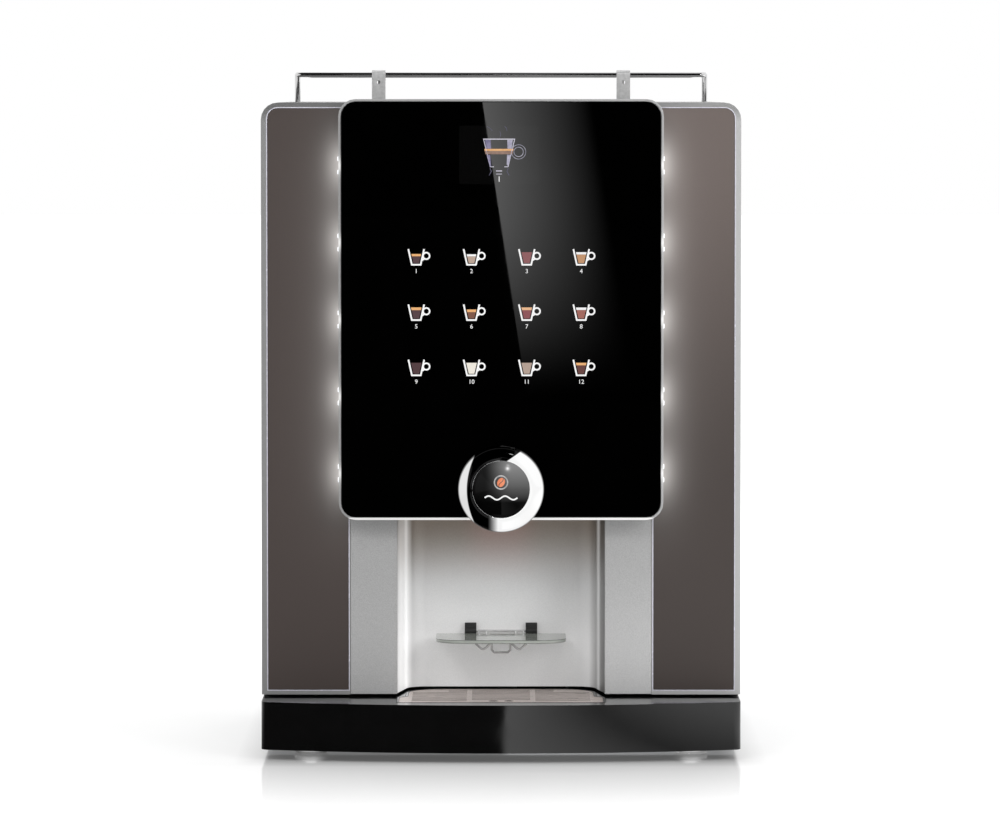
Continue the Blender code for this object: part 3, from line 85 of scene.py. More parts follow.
class Paint:
    """A Principled material whose colour, gloss and relief come from procedural nodes."""

    def __init__(self, name, roughness=0.4, metallic=0.0, **sockets):
        self.material = bpy.data.materials.new(name)
        self.material.use_nodes = True
        self.tree = self.material.node_tree
        self.shader = self.tree.nodes["Principled BSDF"]
        self.shader.inputs["Roughness"].default_value = roughness
        self.shader.inputs["Metallic"].default_value = metallic
        for socket, value in sockets.items():
            self.shader.inputs[socket.replace("_", " ")].default_value = value
        self.place = self.node("ShaderNodeTexCoord").outputs["Object"]
        self.split = self.node("ShaderNodeSeparateXYZ")
        self.join(self.place, self.split.inputs[0])
        self.x, self.y, self.z = self.split.outputs

    def node(self, kind, **settings):
        node = self.tree.nodes.new(kind)
        for key, value in settings.items():
            setattr(node, key, value)
        return node

    def join(self, value, socket):
        if isinstance(value, bpy.types.NodeSocket):
            self.tree.links.new(value, socket)
        else:
            socket.default_value = value

    def math(self, operation, a, b=0.0):
        node = self.node("ShaderNodeMath", operation=operation)
        self.join(a, node.inputs[0])
        self.join(b, node.inputs[1])
        return node.outputs[0]

    def levels(self, value, low, high, to_low=0.0, to_high=1.0, smooth=False):
        kind = "SMOOTHSTEP" if smooth else "LINEAR"
        node = self.node("ShaderNodeMapRange", interpolation_type=kind)
        for socket, number in zip(node.inputs, (value, low, high, to_low, to_high)):
            self.join(number, socket)
        return node.outputs[0]

    def noise(self, scale, stretch=(1, 1, 1), detail=2.0):
        grain = self.node("ShaderNodeVectorMath", operation="MULTIPLY")
        self.join(self.place, grain.inputs[0])
        grain.inputs[1].default_value = stretch
        node = self.node("ShaderNodeTexNoise")
        self.join(grain.outputs[0], node.inputs["Vector"])
        node.inputs["Scale"].default_value = scale
        node.inputs["Detail"].default_value = detail
        return node.outputs[0]

    def blend(self, factor, low, high):
        node = self.node("ShaderNodeMix", data_type="RGBA")
        self.join(factor, node.inputs[0])
        self.join(low, node.inputs[6])
        self.join(high, node.inputs[7])
        return node.outputs[2]

    def colour(self, value):
        self.join(value, self.shader.inputs["Base Color"])

    def rough(self, factor, low, high):
        self.join(self.levels(factor, 0.3, 0.7, low, high), self.shader.inputs["Roughness"])

    def lit(self, colour, strength):
        self.join(colour, self.shader.inputs["Emission Color"])
        self.join(strength, self.shader.inputs["Emission Strength"])

    def relief(self, height, distance, strength=1.0):
        node = self.node("ShaderNodeBump")
        node.inputs["Strength"].default_value = strength
        node.inputs["Distance"].default_value = distance
        self.join(height, node.inputs["Height"])
        self.join(node.outputs[0], self.shader.inputs["Normal"])


def mottled(name, dark, light, scale, roughness, metallic=0.0, stretch=(1, 1, 1), bump=0.0, **sockets):
    """A finish whose colour and gloss wander a little, with an optional fine relief."""
    paint = Paint(name, roughness, metallic, **sockets)
    grain = paint.noise(scale, stretch)
    spread = paint.levels(grain, 0.3, 0.7)
    paint.colour(paint.blend(spread, dark, light))
    paint.rough(paint.noise(scale * 0.31, stretch), roughness * 0.9, roughness * 1.12)
    if bump:
        paint.relief(grain, bump)
    return paint


def silver_paint(name, left, right, top=(104, 148)):
    """Satin silver lacquer with fine flakes, with painted shade that gives its left and right ends their
    own shades.

    The uppermost band of the front, which turns away from the light, has the two shades of top as painted
    shade.
    """
    paint = Paint(name, 0.38, 0.25, Coat_Weight=0.25, Coat_Roughness=0.2)
    flakes = paint.levels(paint.noise(5200, detail=1.0), 0.3, 0.7)
    # painted shade: the colour runs from the left end's shade to the right end's
    across = paint.levels(paint.x, cad_box[0].x, cad_box[1].x)
    dark = paint.blend(across, grey(left - 10), grey(right - 10))
    light = paint.blend(across, grey(left + 8), grey(right + 8))
    plain = paint.blend(flakes, dark, light)
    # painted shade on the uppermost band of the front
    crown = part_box("door_frame")[1].z
    shaded = paint.blend(across, grey(top[0]), grey(top[1]))
    paint.colour(paint.blend(paint.levels(paint.z, crown - 0.022, crown - 0.008), plain, shaded))
    paint.rough(paint.noise(900), 0.33, 0.42)
    paint.relief(paint.noise(700, detail=1.0), 0.00002)
    return paint


def bezel_paint():
    """The bezel's silver with its painted shades, painted lamp light beside the lamp pairs and a painted
    highlight along its lower edge.
    """
    low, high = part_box("fascia_bezel")
    paint = silver_paint("bezel_silver", 138, 176, (150, 168))
    # painted lamp light on the bezel's sides, close to the lamps
    side = paint.levels(paint.math("ABSOLUTE", paint.x), high.x - 0.0045, high.x - 0.0022)
    lamps = lamp_light(paint, spread=0.010, squeeze=0.9, strength=0.55, spot_strength=0.0)
    close = paint.math("MULTIPLY", side, lamps)
    # painted highlight along the bezel's lower edge
    foot = paint.levels(paint.z, low.z + 0.0022, low.z + 0.0032, 0.55, 0.0)
    paint.lit(linear(255, 254, 252), paint.math("ADD", close, foot))
    return paint


def satin_column():
    """The columns beside the niche: silver with a coarse pearl speckle and painted shade, the left column
    darker and the upper part darker than the lower.
    """
    low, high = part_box("niche_column_right")
    paint = Paint("satin_column", 0.45, 0.2)
    speck = paint.levels(paint.noise(1500, detail=3.0), 0.35, 0.65)
    # painted shade: the left column darker than the right one, and both darker upwards
    across = paint.levels(paint.x, -high.x, high.x)
    up = paint.levels(paint.z, low.z + 0.02, high.z - 0.05, smooth=True)
    left_dark, left_light = paint.blend(up, grey(160), grey(148)), paint.blend(up, grey(184), grey(172))
    right_dark, right_light = paint.blend(up, grey(180), grey(150)), paint.blend(up, grey(204), grey(176))
    dark = paint.blend(across, left_dark, right_dark)
    light = paint.blend(across, left_light, right_light)
    paint.colour(paint.blend(speck, dark, light))
    paint.rough(paint.noise(1100), 0.38, 0.5)
    paint.relief(speck, 0.00003)
    return paint


def brown_panel():
    """Satin brown panels, with a painted reflection that makes the right panel paler towards its top, and
    the painted light that the side lamps throw over them.
    """
    paint = Paint("brown_panel", 0.42, 0.1)
    grain = paint.levels(paint.noise(2600, detail=2.0), 0.3, 0.7)
    # painted reflection: the right panel grows paler towards its top
    side = paint.levels(paint.x, -0.1, 0.1)
    rise = paint.levels(paint.z, 0.30, 0.76, smooth=True)
    plain = paint.blend(grain, linear(66, 58, 55), linear(71, 62, 59))
    low = paint.blend(grain, linear(62, 55, 52), linear(68, 60, 57))
    high = paint.blend(grain, linear(97, 87, 83), linear(104, 94, 90))
    paint.colour(paint.blend(side, plain, paint.blend(rise, low, high)))
    paint.rough(paint.noise(800), 0.38, 0.46)
    paint.relief(paint.noise(1800), 0.00002)
    # painted lamp light, given off by the panel's own paint
    lamps = lamp_light(paint, spread=0.0195, squeeze=0.49, strength=0.43, spot_strength=0.35)
    paint.lit(linear(255, 251, 247), lamps)
    return paint


LAMP_PAIRS = 5
LAMP_PITCH = 0.0896  # from one pair to the next one up
LAMP_GAP = 0.0155  # between the two lamps of a pair
LAMP_END = 0.012  # from the strip's lower end to its first lamp
LAMP_INSET = 0.002  # from the strip's outer face in to the lamps
LAMP_SPOT = 0.0035  # radius of the small spot close to each lamp


def lamp_light(paint, spread, squeeze, strength, spot_strength):
    """The light that the five lamp pairs on the bezel's sides throw on a surface beside them.

    Each pair gives a soft pool that fades over the spread, and that reaches further up and down the
    smaller the squeeze is. Each lamp adds a small spot of its own.
    """
    strip_low, strip_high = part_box("led_strip_right")
    side = paint.math("SUBTRACT", paint.math("ABSOLUTE", paint.x), strip_high.x - LAMP_INSET)
    out = paint.math("MAXIMUM", side, 0.0)
    out_square = paint.math("MULTIPLY", out, out)
    total = 0.0

    def add(height, reach, narrowing, power):
        drop = paint.math("MULTIPLY", paint.math("SUBTRACT", paint.z, height), narrowing)
        square = paint.math("ADD", paint.math("MULTIPLY", drop, drop), out_square)
        share = paint.math("ADD", paint.math("DIVIDE", square, reach * reach), 1.0)
        lamp = paint.math("MULTIPLY", paint.math("POWER", share, -2.0), power)
        return paint.math("ADD", lamp, total)

    for pair in range(LAMP_PAIRS):
        lower = strip_low.z + LAMP_END + pair * LAMP_PITCH
        total = add(lower + LAMP_GAP / 2, spread, squeeze, strength)
        if spot_strength:
            for height in (lower, lower + LAMP_GAP):
                total = add(height, LAMP_SPOT, 1.0, spot_strength)
    return total


def niche_wall():
    """The niche: pale satin walls with painted light and shade: a painted glow low on the walls, painted
    warm shade under the fascia that turns rosy near the ring, painted light on the left side wall, and
    painted shade with a painted streak on the right one.
    """
    low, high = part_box("niche_liner")
    flat_half = 0.1062  # half the width of the flat back wall
    paint = Paint("niche_wall", 0.4, 0.1)
    speck = paint.levels(paint.noise(1500, detail=3.0), 0.3, 0.7)
    pale = paint.blend(speck, grey(205), grey(216))
    # painted warm shade under the fascia, rosier near the ring where a painted glow falls
    brown = paint.blend(speck, linear(143, 131, 119), linear(155, 143, 131))
    painted_rosy_glow = paint.blend(speck, linear(160, 132, 122), linear(172, 144, 134))
    near_ring = paint.levels(paint.math("ABSOLUTE", paint.x), 0.01, 0.055, 1.0, 0.0, smooth=True)
    shade = paint.blend(near_ring, brown, painted_rosy_glow)
    fall = paint.levels(paint.z, high.z - 0.150, high.z - 0.066, smooth=True)
    flat = paint.blend(fall, pale, shade)
    # painted shade: the right side wall dark, the left one greyer at its outer edge
    beyond = paint.levels(paint.x, flat_half - 0.002, high.x - 0.001)
    dimmed = paint.blend(paint.levels(paint.x, -high.x + 0.006, -high.x + 0.001), flat, grey(150))
    outside = outward_faces(paint, (low + high) / 2)
    shown = paint.math("SUBTRACT", 1.0, outside)
    plain = paint.blend(speck, grey(128), grey(138))
    paint.colour(paint.blend(outside, paint.blend(beyond, dimmed, grey(74)), plain))
    paint.rough(speck, 0.32, 0.42)
    paint.relief(paint.noise(1100), 0.00002)
    # painted glow on the walls, stronger low down and fading upwards, left off the right side wall
    slope = paint.levels(paint.z, low.z + 0.02, high.z - 0.03, 0.17, 0.0, smooth=True)
    foot = paint.levels(paint.z, low.z + 0.02, low.z + 0.12, 0.17, 0.0, smooth=True)
    glow = paint.math("ADD", slope, foot)
    # painted light: a bright band and a streak on the left side wall, and a streak on the right one
    rising = paint.levels(paint.z, low.z + 0.03, high.z - 0.02, 0.7, 0.0)
    outer = paint.levels(paint.x, -high.x + 0.0010, -high.x + 0.0060, rising, 1.0, smooth=True)
    inner = paint.levels(paint.x, -flat_half - 0.0040, -flat_half + 0.001, 0.40, 0.0)
    upper = paint.levels(paint.z, 0.255, 0.285, 1.0, 0.5)
    left = paint.math("MULTIPLY", paint.math("MULTIPLY", inner, outer), upper)
    left = paint.math("ADD", left, upright_streak(paint, -0.1122, 0.0026, 0.25))
    right = paint.levels(beyond, 0.0, 0.5, 1.0, 0.0)
    sides = paint.math("ADD", left, upright_streak(paint, 0.1148, 0.0028, 0.34))
    lit = paint.math("ADD", paint.math("MULTIPLY", glow, right), sides)
    paint.lit(pale, paint.math("MULTIPLY", lit, shown))
    return paint


def upright_streak(paint, x, half_width, strength):
    """A soft upright line of light at x."""
    away = paint.math("ABSOLUTE", paint.math("SUBTRACT", paint.x, x))
    return paint.levels(away, 0.0, half_width, strength, 0.0, smooth=True)


def outward_faces(paint, middle):
    """1 on the faces of a shell that look away from its middle sideways, up, down or back."""
    split = paint.node("ShaderNodeSeparateXYZ")
    paint.join(paint.node("ShaderNodeTexCoord").outputs["Normal"], split.inputs[0])
    side = paint.math("SIGN", paint.math("SUBTRACT", paint.x, middle.x))
    rise = paint.math("SIGN", paint.math("SUBTRACT", paint.z, middle.z))
    sideways = paint.math("MULTIPLY", split.outputs[0], side)
    up_or_down = paint.math("MULTIPLY", split.outputs[2], rise)
    most = paint.math("MAXIMUM", paint.math("MAXIMUM", sideways, up_or_down), split.outputs[1])
    return paint.levels(most, 0.25, 0.5)


def grille_steel():
    """Brushed steel along X, with painted shade inside its slots."""
    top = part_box("drip_grille")[1].z
    paint = Paint("grille_steel", 0.3, 0.5)
    brush = paint.levels(paint.noise(900, (0.03, 1, 1)), 0.3, 0.7)
    face = paint.blend(brush, linear(192, 178, 172), linear(226, 212, 206))
    # painted shade: everything below the top face, down in the slots, is dark grey
    paint.colour(paint.blend(paint.levels(paint.z, top - 0.0005, top - 0.0001), grey(44), face))
    paint.rough(paint.noise(600, (0.05, 1, 1)), 0.26, 0.36)
    return paint


def foot_steel():
    """Polished feet below the base, with a painted highlight down the middle of each."""
    low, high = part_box("foot_front_left")
    paint = Paint("foot_steel", 0.25, 0.4)
    grain = paint.levels(paint.noise(140), 0.3, 0.7)
    paint.colour(paint.blend(grain, grey(186), grey(210)))
    paint.rough(paint.noise(60), 0.2, 0.3)
    # painted highlight: brightest across the middle of each foot and towards its top
    away = paint.math("SUBTRACT", paint.math("ABSOLUTE", paint.x), abs(low.x + high.x) / 2)
    middle = paint.levels(paint.math("ABSOLUTE", away), 0.003, 0.017, 1.0, 0.05, smooth=True)
    rim = paint.levels(paint.z, low.z + 0.002, low.z + 0.005, 0.1, 0.85)
    paint.lit(grey(240), paint.math("MULTIPLY", middle, rim))
    return paint


def black_glass(name, shade):
    """Deep black glass with hardly any grain in it."""
    paint = Paint(name, 0.02, 0.0, IOR=1.5)
    paint.colour(paint.blend(paint.noise(22), grey(shade), grey(shade + 1)))
    paint.rough(paint.noise(60), 0.004, 0.010)
    return paint


def black_gloss():
    """Thick black lacquer with a faint waviness."""
    paint = Paint("black_gloss", 0.09, 0.0, IOR=1.5)
    grain = paint.noise(40)
    paint.colour(paint.blend(grain, grey(7), grey(12)))
    paint.rough(paint.noise(35), 0.06, 0.12)
    paint.relief(paint.noise(150, detail=1.0), 0.00001)
    return paint


def metal(name, dark, light, roughness, scale, stretch=(1, 1, 1), bump=0.0, **sockets):
    return mottled(name, dark, light, scale, roughness, 1.0, stretch, bump, **sockets)


def clear_plastic():
    """Smoky clear plastic with a faint tint that wanders."""
    paint = Paint("clear_plastic", 0.12, 0.0, IOR=1.4, Transmission_Weight=1.0)
    paint.colour(paint.blend(paint.noise(30), linear(190, 196, 200), linear(206, 210, 212)))
    return paint


def shelf_glass():
    """Faintly green glass with painted shade along its bevelled edges."""
    paint = Paint("clear_glass", 0.03, 0.0, IOR=1.5, Transmission_Weight=0.36)
    split = paint.node("ShaderNodeSeparateXYZ")
    paint.join(paint.node("ShaderNodeTexCoord").outputs["Normal"], split.inputs[0])
    # painted shade: dark where the faces slope at the bevelled edges
    slope = paint.math("ABSOLUTE", split.outputs[2])
    not_upright = paint.levels(slope, 0.05, 0.3)
    painted_edge_shade = paint.math("MULTIPLY", not_upright, paint.levels(slope, 0.8, 0.98, 1.0, 0.0))
    face = paint.blend(paint.noise(30), linear(176, 181, 174), linear(188, 192, 185))
    paint.colour(paint.blend(painted_edge_shade, face, linear(78, 84, 80)))
    return paint


def light_bar():
    """Milky lit plastic."""
    paint = Paint("light_bar", 0.3, 0.0, IOR=1.45)
    haze = paint.blend(paint.noise(240), linear(236, 240, 246), linear(250, 251, 252))
    paint.colour(haze)
    paint.lit(haze, 0.75)
    return paint


def glowing(name, low, high, strength, scale=900):
    """A lit print: its colour wanders a little and it gives off its own light."""
    paint = Paint(name, 0.35, 0.0)
    colour = paint.blend(paint.levels(paint.noise(scale), 0.3, 0.7), low, high)
    paint.colour(paint.blend(paint.noise(scale), grey(30), grey(40)))
    paint.lit(colour, strength)
    return paint


paints = {
    "silver": silver_paint("silver", 136, 182),
    "silver_sheet": silver_paint("silver_sheet", 160, 176),
    "bezel_silver": bezel_paint(),
    "satin_column": satin_column(),
    "brown_panel": brown_panel(),
    "black_gloss": black_gloss(),
    "black_matt": mottled("black_matt", grey(34), grey(46), 1400, 0.5, bump=0.00004),
    "black_glass": black_glass("black_glass", 0),
    "chrome": metal("chrome", grey(216), grey(228), 0.05, 25),
    "steel": metal("steel", grey(176), grey(205), 0.24, 160, (1, 14, 14), 0.00001, Anisotropic=0.5),
    "grille_steel": grille_steel(),
    "wire_chrome": mottled("wire_chrome", grey(210), grey(228), 200, 0.2, 0.45),
    "foot_steel": foot_steel(),
    "clip_steel": mottled("clip_steel", grey(184), grey(202), 300, 0.34, 0.35, bump=0.00001),
    # a pale line that stands in for the light caught on the frame's edge round the brown panels: a painted
    # highlight
    "painted_highlight_line": mottled("painted_highlight_line", linear(206, 204, 216), linear(226, 225, 236), 300, 0.25, 0.3),
    "zinc": metal("zinc", linear(150, 154, 158), linear(186, 189, 192), 0.34, 220, bump=0.00001),
    "light_bar": light_bar(),
    "clear_glass": shelf_glass(),
    "clear_plastic": clear_plastic(),
    "white_plastic": mottled("white_plastic", grey(214), grey(224), 700, 0.38, bump=0.00003),
    "grey_plastic": mottled("grey_plastic", grey(92), grey(106), 900, 0.5, bump=0.00005),
    "brass": metal("brass", linear(196, 160, 86), linear(220, 186, 112), 0.22, 300),
    "red_plastic": mottled("red_plastic", linear(150, 30, 24), linear(172, 42, 32), 900, 0.4),
    "niche_wall": niche_wall(),
    "print_white": glowing("print_white", grey(244), grey(255), 0.98),
}


# ---------------------------------------------------------------- CAD pieces


ROUND_WIRE = ("rail_ring", "cup_shelf_wire", "whipper_left", "whipper_right", "auger_left", "auger_right")
MIRROR_FLAT = ("fascia_glass",)
OWN_PAINT = {
    "niche_liner": "niche_wall",
    "fascia_bezel": "bezel_silver",
    "drip_grille": "grille_steel",
    "cup_shelf_wire": "wire_chrome",
    "foot_front_left": "foot_steel",
    "foot_front_right": "foot_steel",
    "foot_rear_left": "foot_steel",
    "foot_rear_right": "foot_steel",
    "rail_clip_left": "clip_steel",
    "rail_clip_right": "clip_steel",
}
USUAL_EDGE = 0.0005
# how wide the soft edges are where they aren't of the usual width
EDGE = {
    "door_frame": 0.0010,
    "fascia_bezel": 0.0006,
    "base_fascia": 0.0010,
    "top_lid": 0.0012,
    "niche_liner": 0.0006,
    "cup_shelf_glass": 0.0010,
    "shelf_bracket_left": 0.0022,
    "shelf_bracket_right": 0.0022,
    "drip_grille": 0.0003,
    "door_panel_left": 0.0004,
    "door_panel_right": 0.0004,
    "niche_column_left": 0.0004,
    "niche_column_right": 0.0004,
}


def finish_cad_piece(name, obj, slot):
    """Gives a carried-over CAD piece its paint, softened edges and smooth round faces."""
    paint = paints[OWN_PAINT.get(name, slot)]
    obj.data.materials.clear()
    obj.data.materials.append(paint.material)
    for attribute in ("custom_normal", "sharp_edge", "sharp_face"):
        if attribute in obj.data.attributes:
            obj.data.attributes.remove(obj.data.attributes[attribute])
    weld = obj.modifiers.new("weld", "WELD")
    weld.merge_threshold = 0.00001
    if name not in ROUND_WIRE:
        bevel = obj.modifiers.new("edges", "BEVEL")
        bevel.width = EDGE.get(name, USUAL_EDGE)
        bevel.segments = 2
        bevel.limit_method = "ANGLE"
        bevel.angle_limit = math.radians(35)
    if name in MIRROR_FLAT:
        obj.data.shade_flat()
    else:
        obj.data.shade_smooth()
        normals = obj.modifiers.new("normals", "WEIGHTED_NORMAL")
        normals.weight = 100


slot_of = {part["node"]: part["material_slot"] for part in frame["record"]["subparts"]}
for node_name, node_object in cad.items():
    finish_cad_piece(node_name, node_object, slot_of[node_name])


# ---------------------------------------------------------------- shapes for the finer pieces


def keep(name, mesh, paint, body, stands_for=()):
    """Makes an object of a mesh that is already in its place, and lets it ride on its body."""
    mesh.materials.clear()
    mesh.materials.append(paint.material)
    obj = bpy.data.objects.new(name, mesh)
    bpy.context.scene.collection.objects.link(obj)
    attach(obj, body)
    if stands_for:
        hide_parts(*stands_for)


def evaluated_mesh(data, matrix):
    """The mesh that Blender makes from a curve or a text, moved by a matrix."""
    holder = bpy.data.objects.new("holder", data)
    bpy.context.scene.collection.objects.link(holder)
    bpy.context.view_layer.update()
    graph = bpy.context.evaluated_depsgraph_get()
    mesh = bpy.data.meshes.new_from_object(holder.evaluated_get(graph), depsgraph=graph)
    mesh.transform(matrix)
    bpy.data.objects.remove(holder)
    bpy.data.curves.remove(data)
    return mesh


def upright(y):
    """Turns a drawing in X and Y to stand in X and Z, facing the front, at depth y."""
    return Matrix.Translation((0, y, 0)) @ Matrix.Rotation(math.radians(90), 4, "X")


def layer(loops, back, front):
    """A flat piece that faces the front: outlines in (x, z) between two depths; inner ones are holes."""
    curve = bpy.data.curves.new("outline", "CURVE")
    curve.dimensions = "2D"
    curve.fill_mode = "BOTH"
    curve.extrude = (back - front) / 2
    for loop in loops:
        spline = curve.splines.new("POLY")
        spline.points.add(len(loop) - 1)
        for point, (x, z) in zip(spline.points, loop):
            point.co = (x, z, 0, 1)
        spline.use_cyclic_u = True
    return evaluated_mesh(curve, upright((back + front) / 2))


DIGIT_SIZE = 1.42  # the font's size for digits of height 1


def number(text, x, z, height, back, front):
    """A number in relief, centred on (x, z)."""
    curve = bpy.data.curves.new("number", "FONT")
    curve.body = text
    curve.size = height * DIGIT_SIZE
    curve.align_x = "CENTER"
    curve.align_y = "CENTER"
    curve.extrude = (back - front) / 2
    curve.resolution_u = 4
    return evaluated_mesh(curve, Matrix.Translation((x, 0, z)) @ upright((back + front) / 2))


def circle(x, z, radius, steps=40):
    turns = [math.tau * i / steps for i in range(steps)]
    return [(x + radius * math.cos(t), z + radius * math.sin(t)) for t in turns]


def merged(meshes):
    """One mesh of several."""
    shape = bmesh.new()
    for mesh in meshes:
        shape.from_mesh(mesh)
    joined = bpy.data.meshes.new("merged")
    shape.to_mesh(joined)
    shape.free()
    return joined


def stroke(points, width):
    """The outline of a line of the given width through the points."""
    points = [Vector(p) for p in points]
    left, right = [], []
    for i, point in enumerate(points):
        before = (point - points[i - 1]).normalized() if i else None
        after = (points[i + 1] - point).normalized() if i + 1 < len(points) else None
        run = ((before or after) + (after or before)).normalized()
        square = Vector((-run.y, run.x)) * (width / 2 / max(run.dot(after or before), 0.3))
        left.append(tuple(point + square))
        right.append(tuple(point - square))
    return left + right[::-1]


def rounded_rectangle(x_low, z_low, x_high, z_high, radius, steps=8):
    corners = ((x_high, z_high, 0), (x_low, z_high, 90), (x_low, z_low, 180), (x_high, z_low, 270))
    points = []
    for x, z, start in corners:
        centre_x = x - radius if x == x_high else x + radius
        centre_z = z - radius if z == z_high else z + radius
        for i in range(steps + 1):
            turn = math.radians(start + 90 * i / steps)
            points.append((centre_x + radius * math.cos(turn), centre_z + radius * math.sin(turn)))
    return points


def turned(profile, centre):
    """A turned piece with its axis along Y; the closed profile gives radius and depth."""
    steps = 96
    shape = bmesh.new()
    rings = []
    for radius, y in profile:
        if radius == 0:
            rings.append([shape.verts.new((centre.x, y, centre.z))])
            continue
        turns = [math.tau * i / steps for i in range(steps)]
        spots = [(centre.x + radius * math.cos(t), y, centre.z + radius * math.sin(t)) for t in turns]
        rings.append([shape.verts.new(spot) for spot in spots])
    closed = profile[0][0] != 0
    pairs = list(zip(rings, rings[1:])) + ([(rings[-1], rings[0])] if closed else [])
    for first, second in pairs:
        for i in range(steps):
            j = (i + 1) % steps
            corners = [first[i % len(first)], first[j % len(first)]]
            corners += [second[j % len(second)], second[i % len(second)]]
            shape.faces.new(list(dict.fromkeys(corners)))
    bmesh.ops.recalc_face_normals(shape, faces=shape.faces)
    mesh = bpy.data.meshes.new("turned")
    shape.to_mesh(mesh)
    shape.free()
    mesh.shade_smooth()
    return mesh


# ---------------------------------------------------------------- wire loops under the cup shelf


def make_shelf_loops():
    """Two wire loops that hang under the front of the shelf's glass and stop a cup from sliding."""
    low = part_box("cup_shelf_glass")[0]
    wire = 0.0013
    loop_x, half_width, depth = 0.0212, 0.0090, 0.0062
    top = low.z - wire - 0.0002
    y = low.y + 0.016
    curve = bpy.data.curves.new("loops", "CURVE")
    curve.dimensions = "3D"
    curve.bevel_depth = wire
    curve.bevel_resolution = 2
    for side in (-1, 1):
        spline = curve.splines.new("POLY")
        spline.points.add(16)
        for i, point in enumerate(spline.points):
            along = -1 + i / 8
            sag = depth * (0.5 + 0.5 * math.cos(math.pi * along)) ** 0.8
            point.co = (side * (loop_x + half_width * along), y, top - sag, 1)
    mesh = evaluated_mesh(curve, Matrix.Identity(4))
    mesh.shade_smooth()
    keep("shelf_loops", mesh, paints["wire_chrome"], "cup_shelf")


make_shelf_loops()


# ---------------------------------------------------------------- painted highlight round the brown panels


PANEL_CORNER = 0.012
HIGHLIGHT_NEAR, HIGHLIGHT_FAR = 0.0003, 0.0014  # from the panel's edge to the line's two edges


def panel_loop(low, high, side, grow):
    """A panel's outline from the front, grown by a margin, with its top outer corner rounded."""
    inner, outer = sorted((abs(low.x), abs(high.x)))
    radius = PANEL_CORNER + grow
    x0, x1, z0, z1 = inner - grow, outer + grow, low.z - grow, high.z + grow
    points = [(x0, z0), (x1, z0)]
    for i in range(9):
        turn = math.radians(90 * i / 8)
        points.append((x1 - radius + radius * math.cos(turn), z1 - radius + radius * math.sin(turn)))
    points.append((x0, z1))
    return [(side * x, z) for x, z in points]


def make_panel_highlight():
    """A thin pale line on the frame round each brown panel, a painted highlight for the frame's edge."""
    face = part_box("door_frame")[0].y
    for name, side in (("left", -1), ("right", 1)):
        low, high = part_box(f"door_panel_{name}")
        loops = [panel_loop(low, high, side, grow) for grow in (HIGHLIGHT_NEAR, HIGHLIGHT_FAR)]
        mesh = layer(loops, face, face - PRINT)
        keep(f"panel_highlight_{name}", mesh, paints["painted_highlight_line"], "door")


make_panel_highlight()


# ---------------------------------------------------------------- keys on the glass


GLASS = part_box("fascia_glass")[0].y  # the glass's front face
# sizes and places of the keys, in mm
KEY_COLUMNS = (-98.5, -34.3, 29.9, 93.2)
KEY_ROWS = (592.5, 528.2, 463.9)
CUP_TOP_HALF = 10.1
CUP_FOOT_HALF = 5.7
CUP_HEIGHT = 19.1
CUP_LINE = 1.9
DRINK_INSET = 3.1  # from the cup's outer line to the drink's side
DRINK_FOOT = 16.3  # from the cup's rim down to the drink's lower edge
NUMBER_DROP = 25.8  # from the cup's rim down to the middle of the key's number
NUMBER_HEIGHT = 5.0

DARK = linear(76, 48, 54)
CREMA = linear(242, 180, 116)
FOAM = grey(250)
# (drink colour, its height below the cup's rim, topping colour, topping's height) for each key, in mm
DRINKS = (
    (DARK, 5.7, CREMA, 2.7),
    (linear(190, 165, 148), 6.0, FOAM, 2.5),
    (linear(142, 87, 90), 3.6, None, 0),
    (linear(196, 146, 104), 3.6, FOAM, 2.7),
    (DARK, 3.5, CREMA, 3.2),
    (linear(122, 76, 56), 5.9, CREMA, 3.1),
    (linear(140, 74, 80), 3.5, linear(238, 186, 140), 3.2),
    (linear(162, 98, 86), 3.6, FOAM, 2.9),
    (linear(72, 42, 46), 3.6, None, 0),
    (linear(244, 238, 226), 3.6, None, 0),
    (linear(182, 160, 146), 3.6, None, 0),
    (linear(98, 52, 46), 3.6, CREMA, 3.0),
)


def cup_side(depth):
    """Half the width of the drink inside the cup, at a depth below its rim, in mm."""
    share = depth / CUP_HEIGHT
    return CUP_TOP_HALF * (1 - share) + CUP_FOOT_HALF * share - DRINK_INSET


def band(x, rim, high, low):
    """The outline of a layer in the cup, between two depths below its rim."""
    top, foot = cup_side(high), cup_side(low)
    corners = [(-foot, -low), (foot, -low), (top, -high), (-top, -high)]
    return [((x + dx) * MM, (rim + dz) * MM) for dx, dz in corners]


def cup_symbol(x, rim):
    """The outline of a cup with its ring handle."""
    half = CUP_LINE / 2
    path = [(-CUP_TOP_HALF + half, 0), (-CUP_FOOT_HALF + half * 0.6, half - CUP_HEIGHT)]
    path += [(CUP_FOOT_HALF - half * 0.6, half - CUP_HEIGHT), (CUP_TOP_HALF - half, 0)]
    outline = [((x + dx) * MM, (rim + dz) * MM) for dx, dz in stroke(path, CUP_LINE)]
    hub = ((x + 11.7) * MM, (rim - 7.9) * MM)
    ring = [circle(*hub, 4.7 * MM), circle(*hub, 2.9 * MM)]
    link = [((x + dx) * MM, (rim + dz) * MM) for dx, dz in stroke([(6.8, -13.0), (9.3, -11.4)], 1.7)]
    meshes = [layer([outline], GLASS, GLASS - PRINT)]
    meshes.append(layer(ring, GLASS, GLASS - PRINT))
    meshes.append(layer([link], GLASS, GLASS - PRINT))
    return meshes


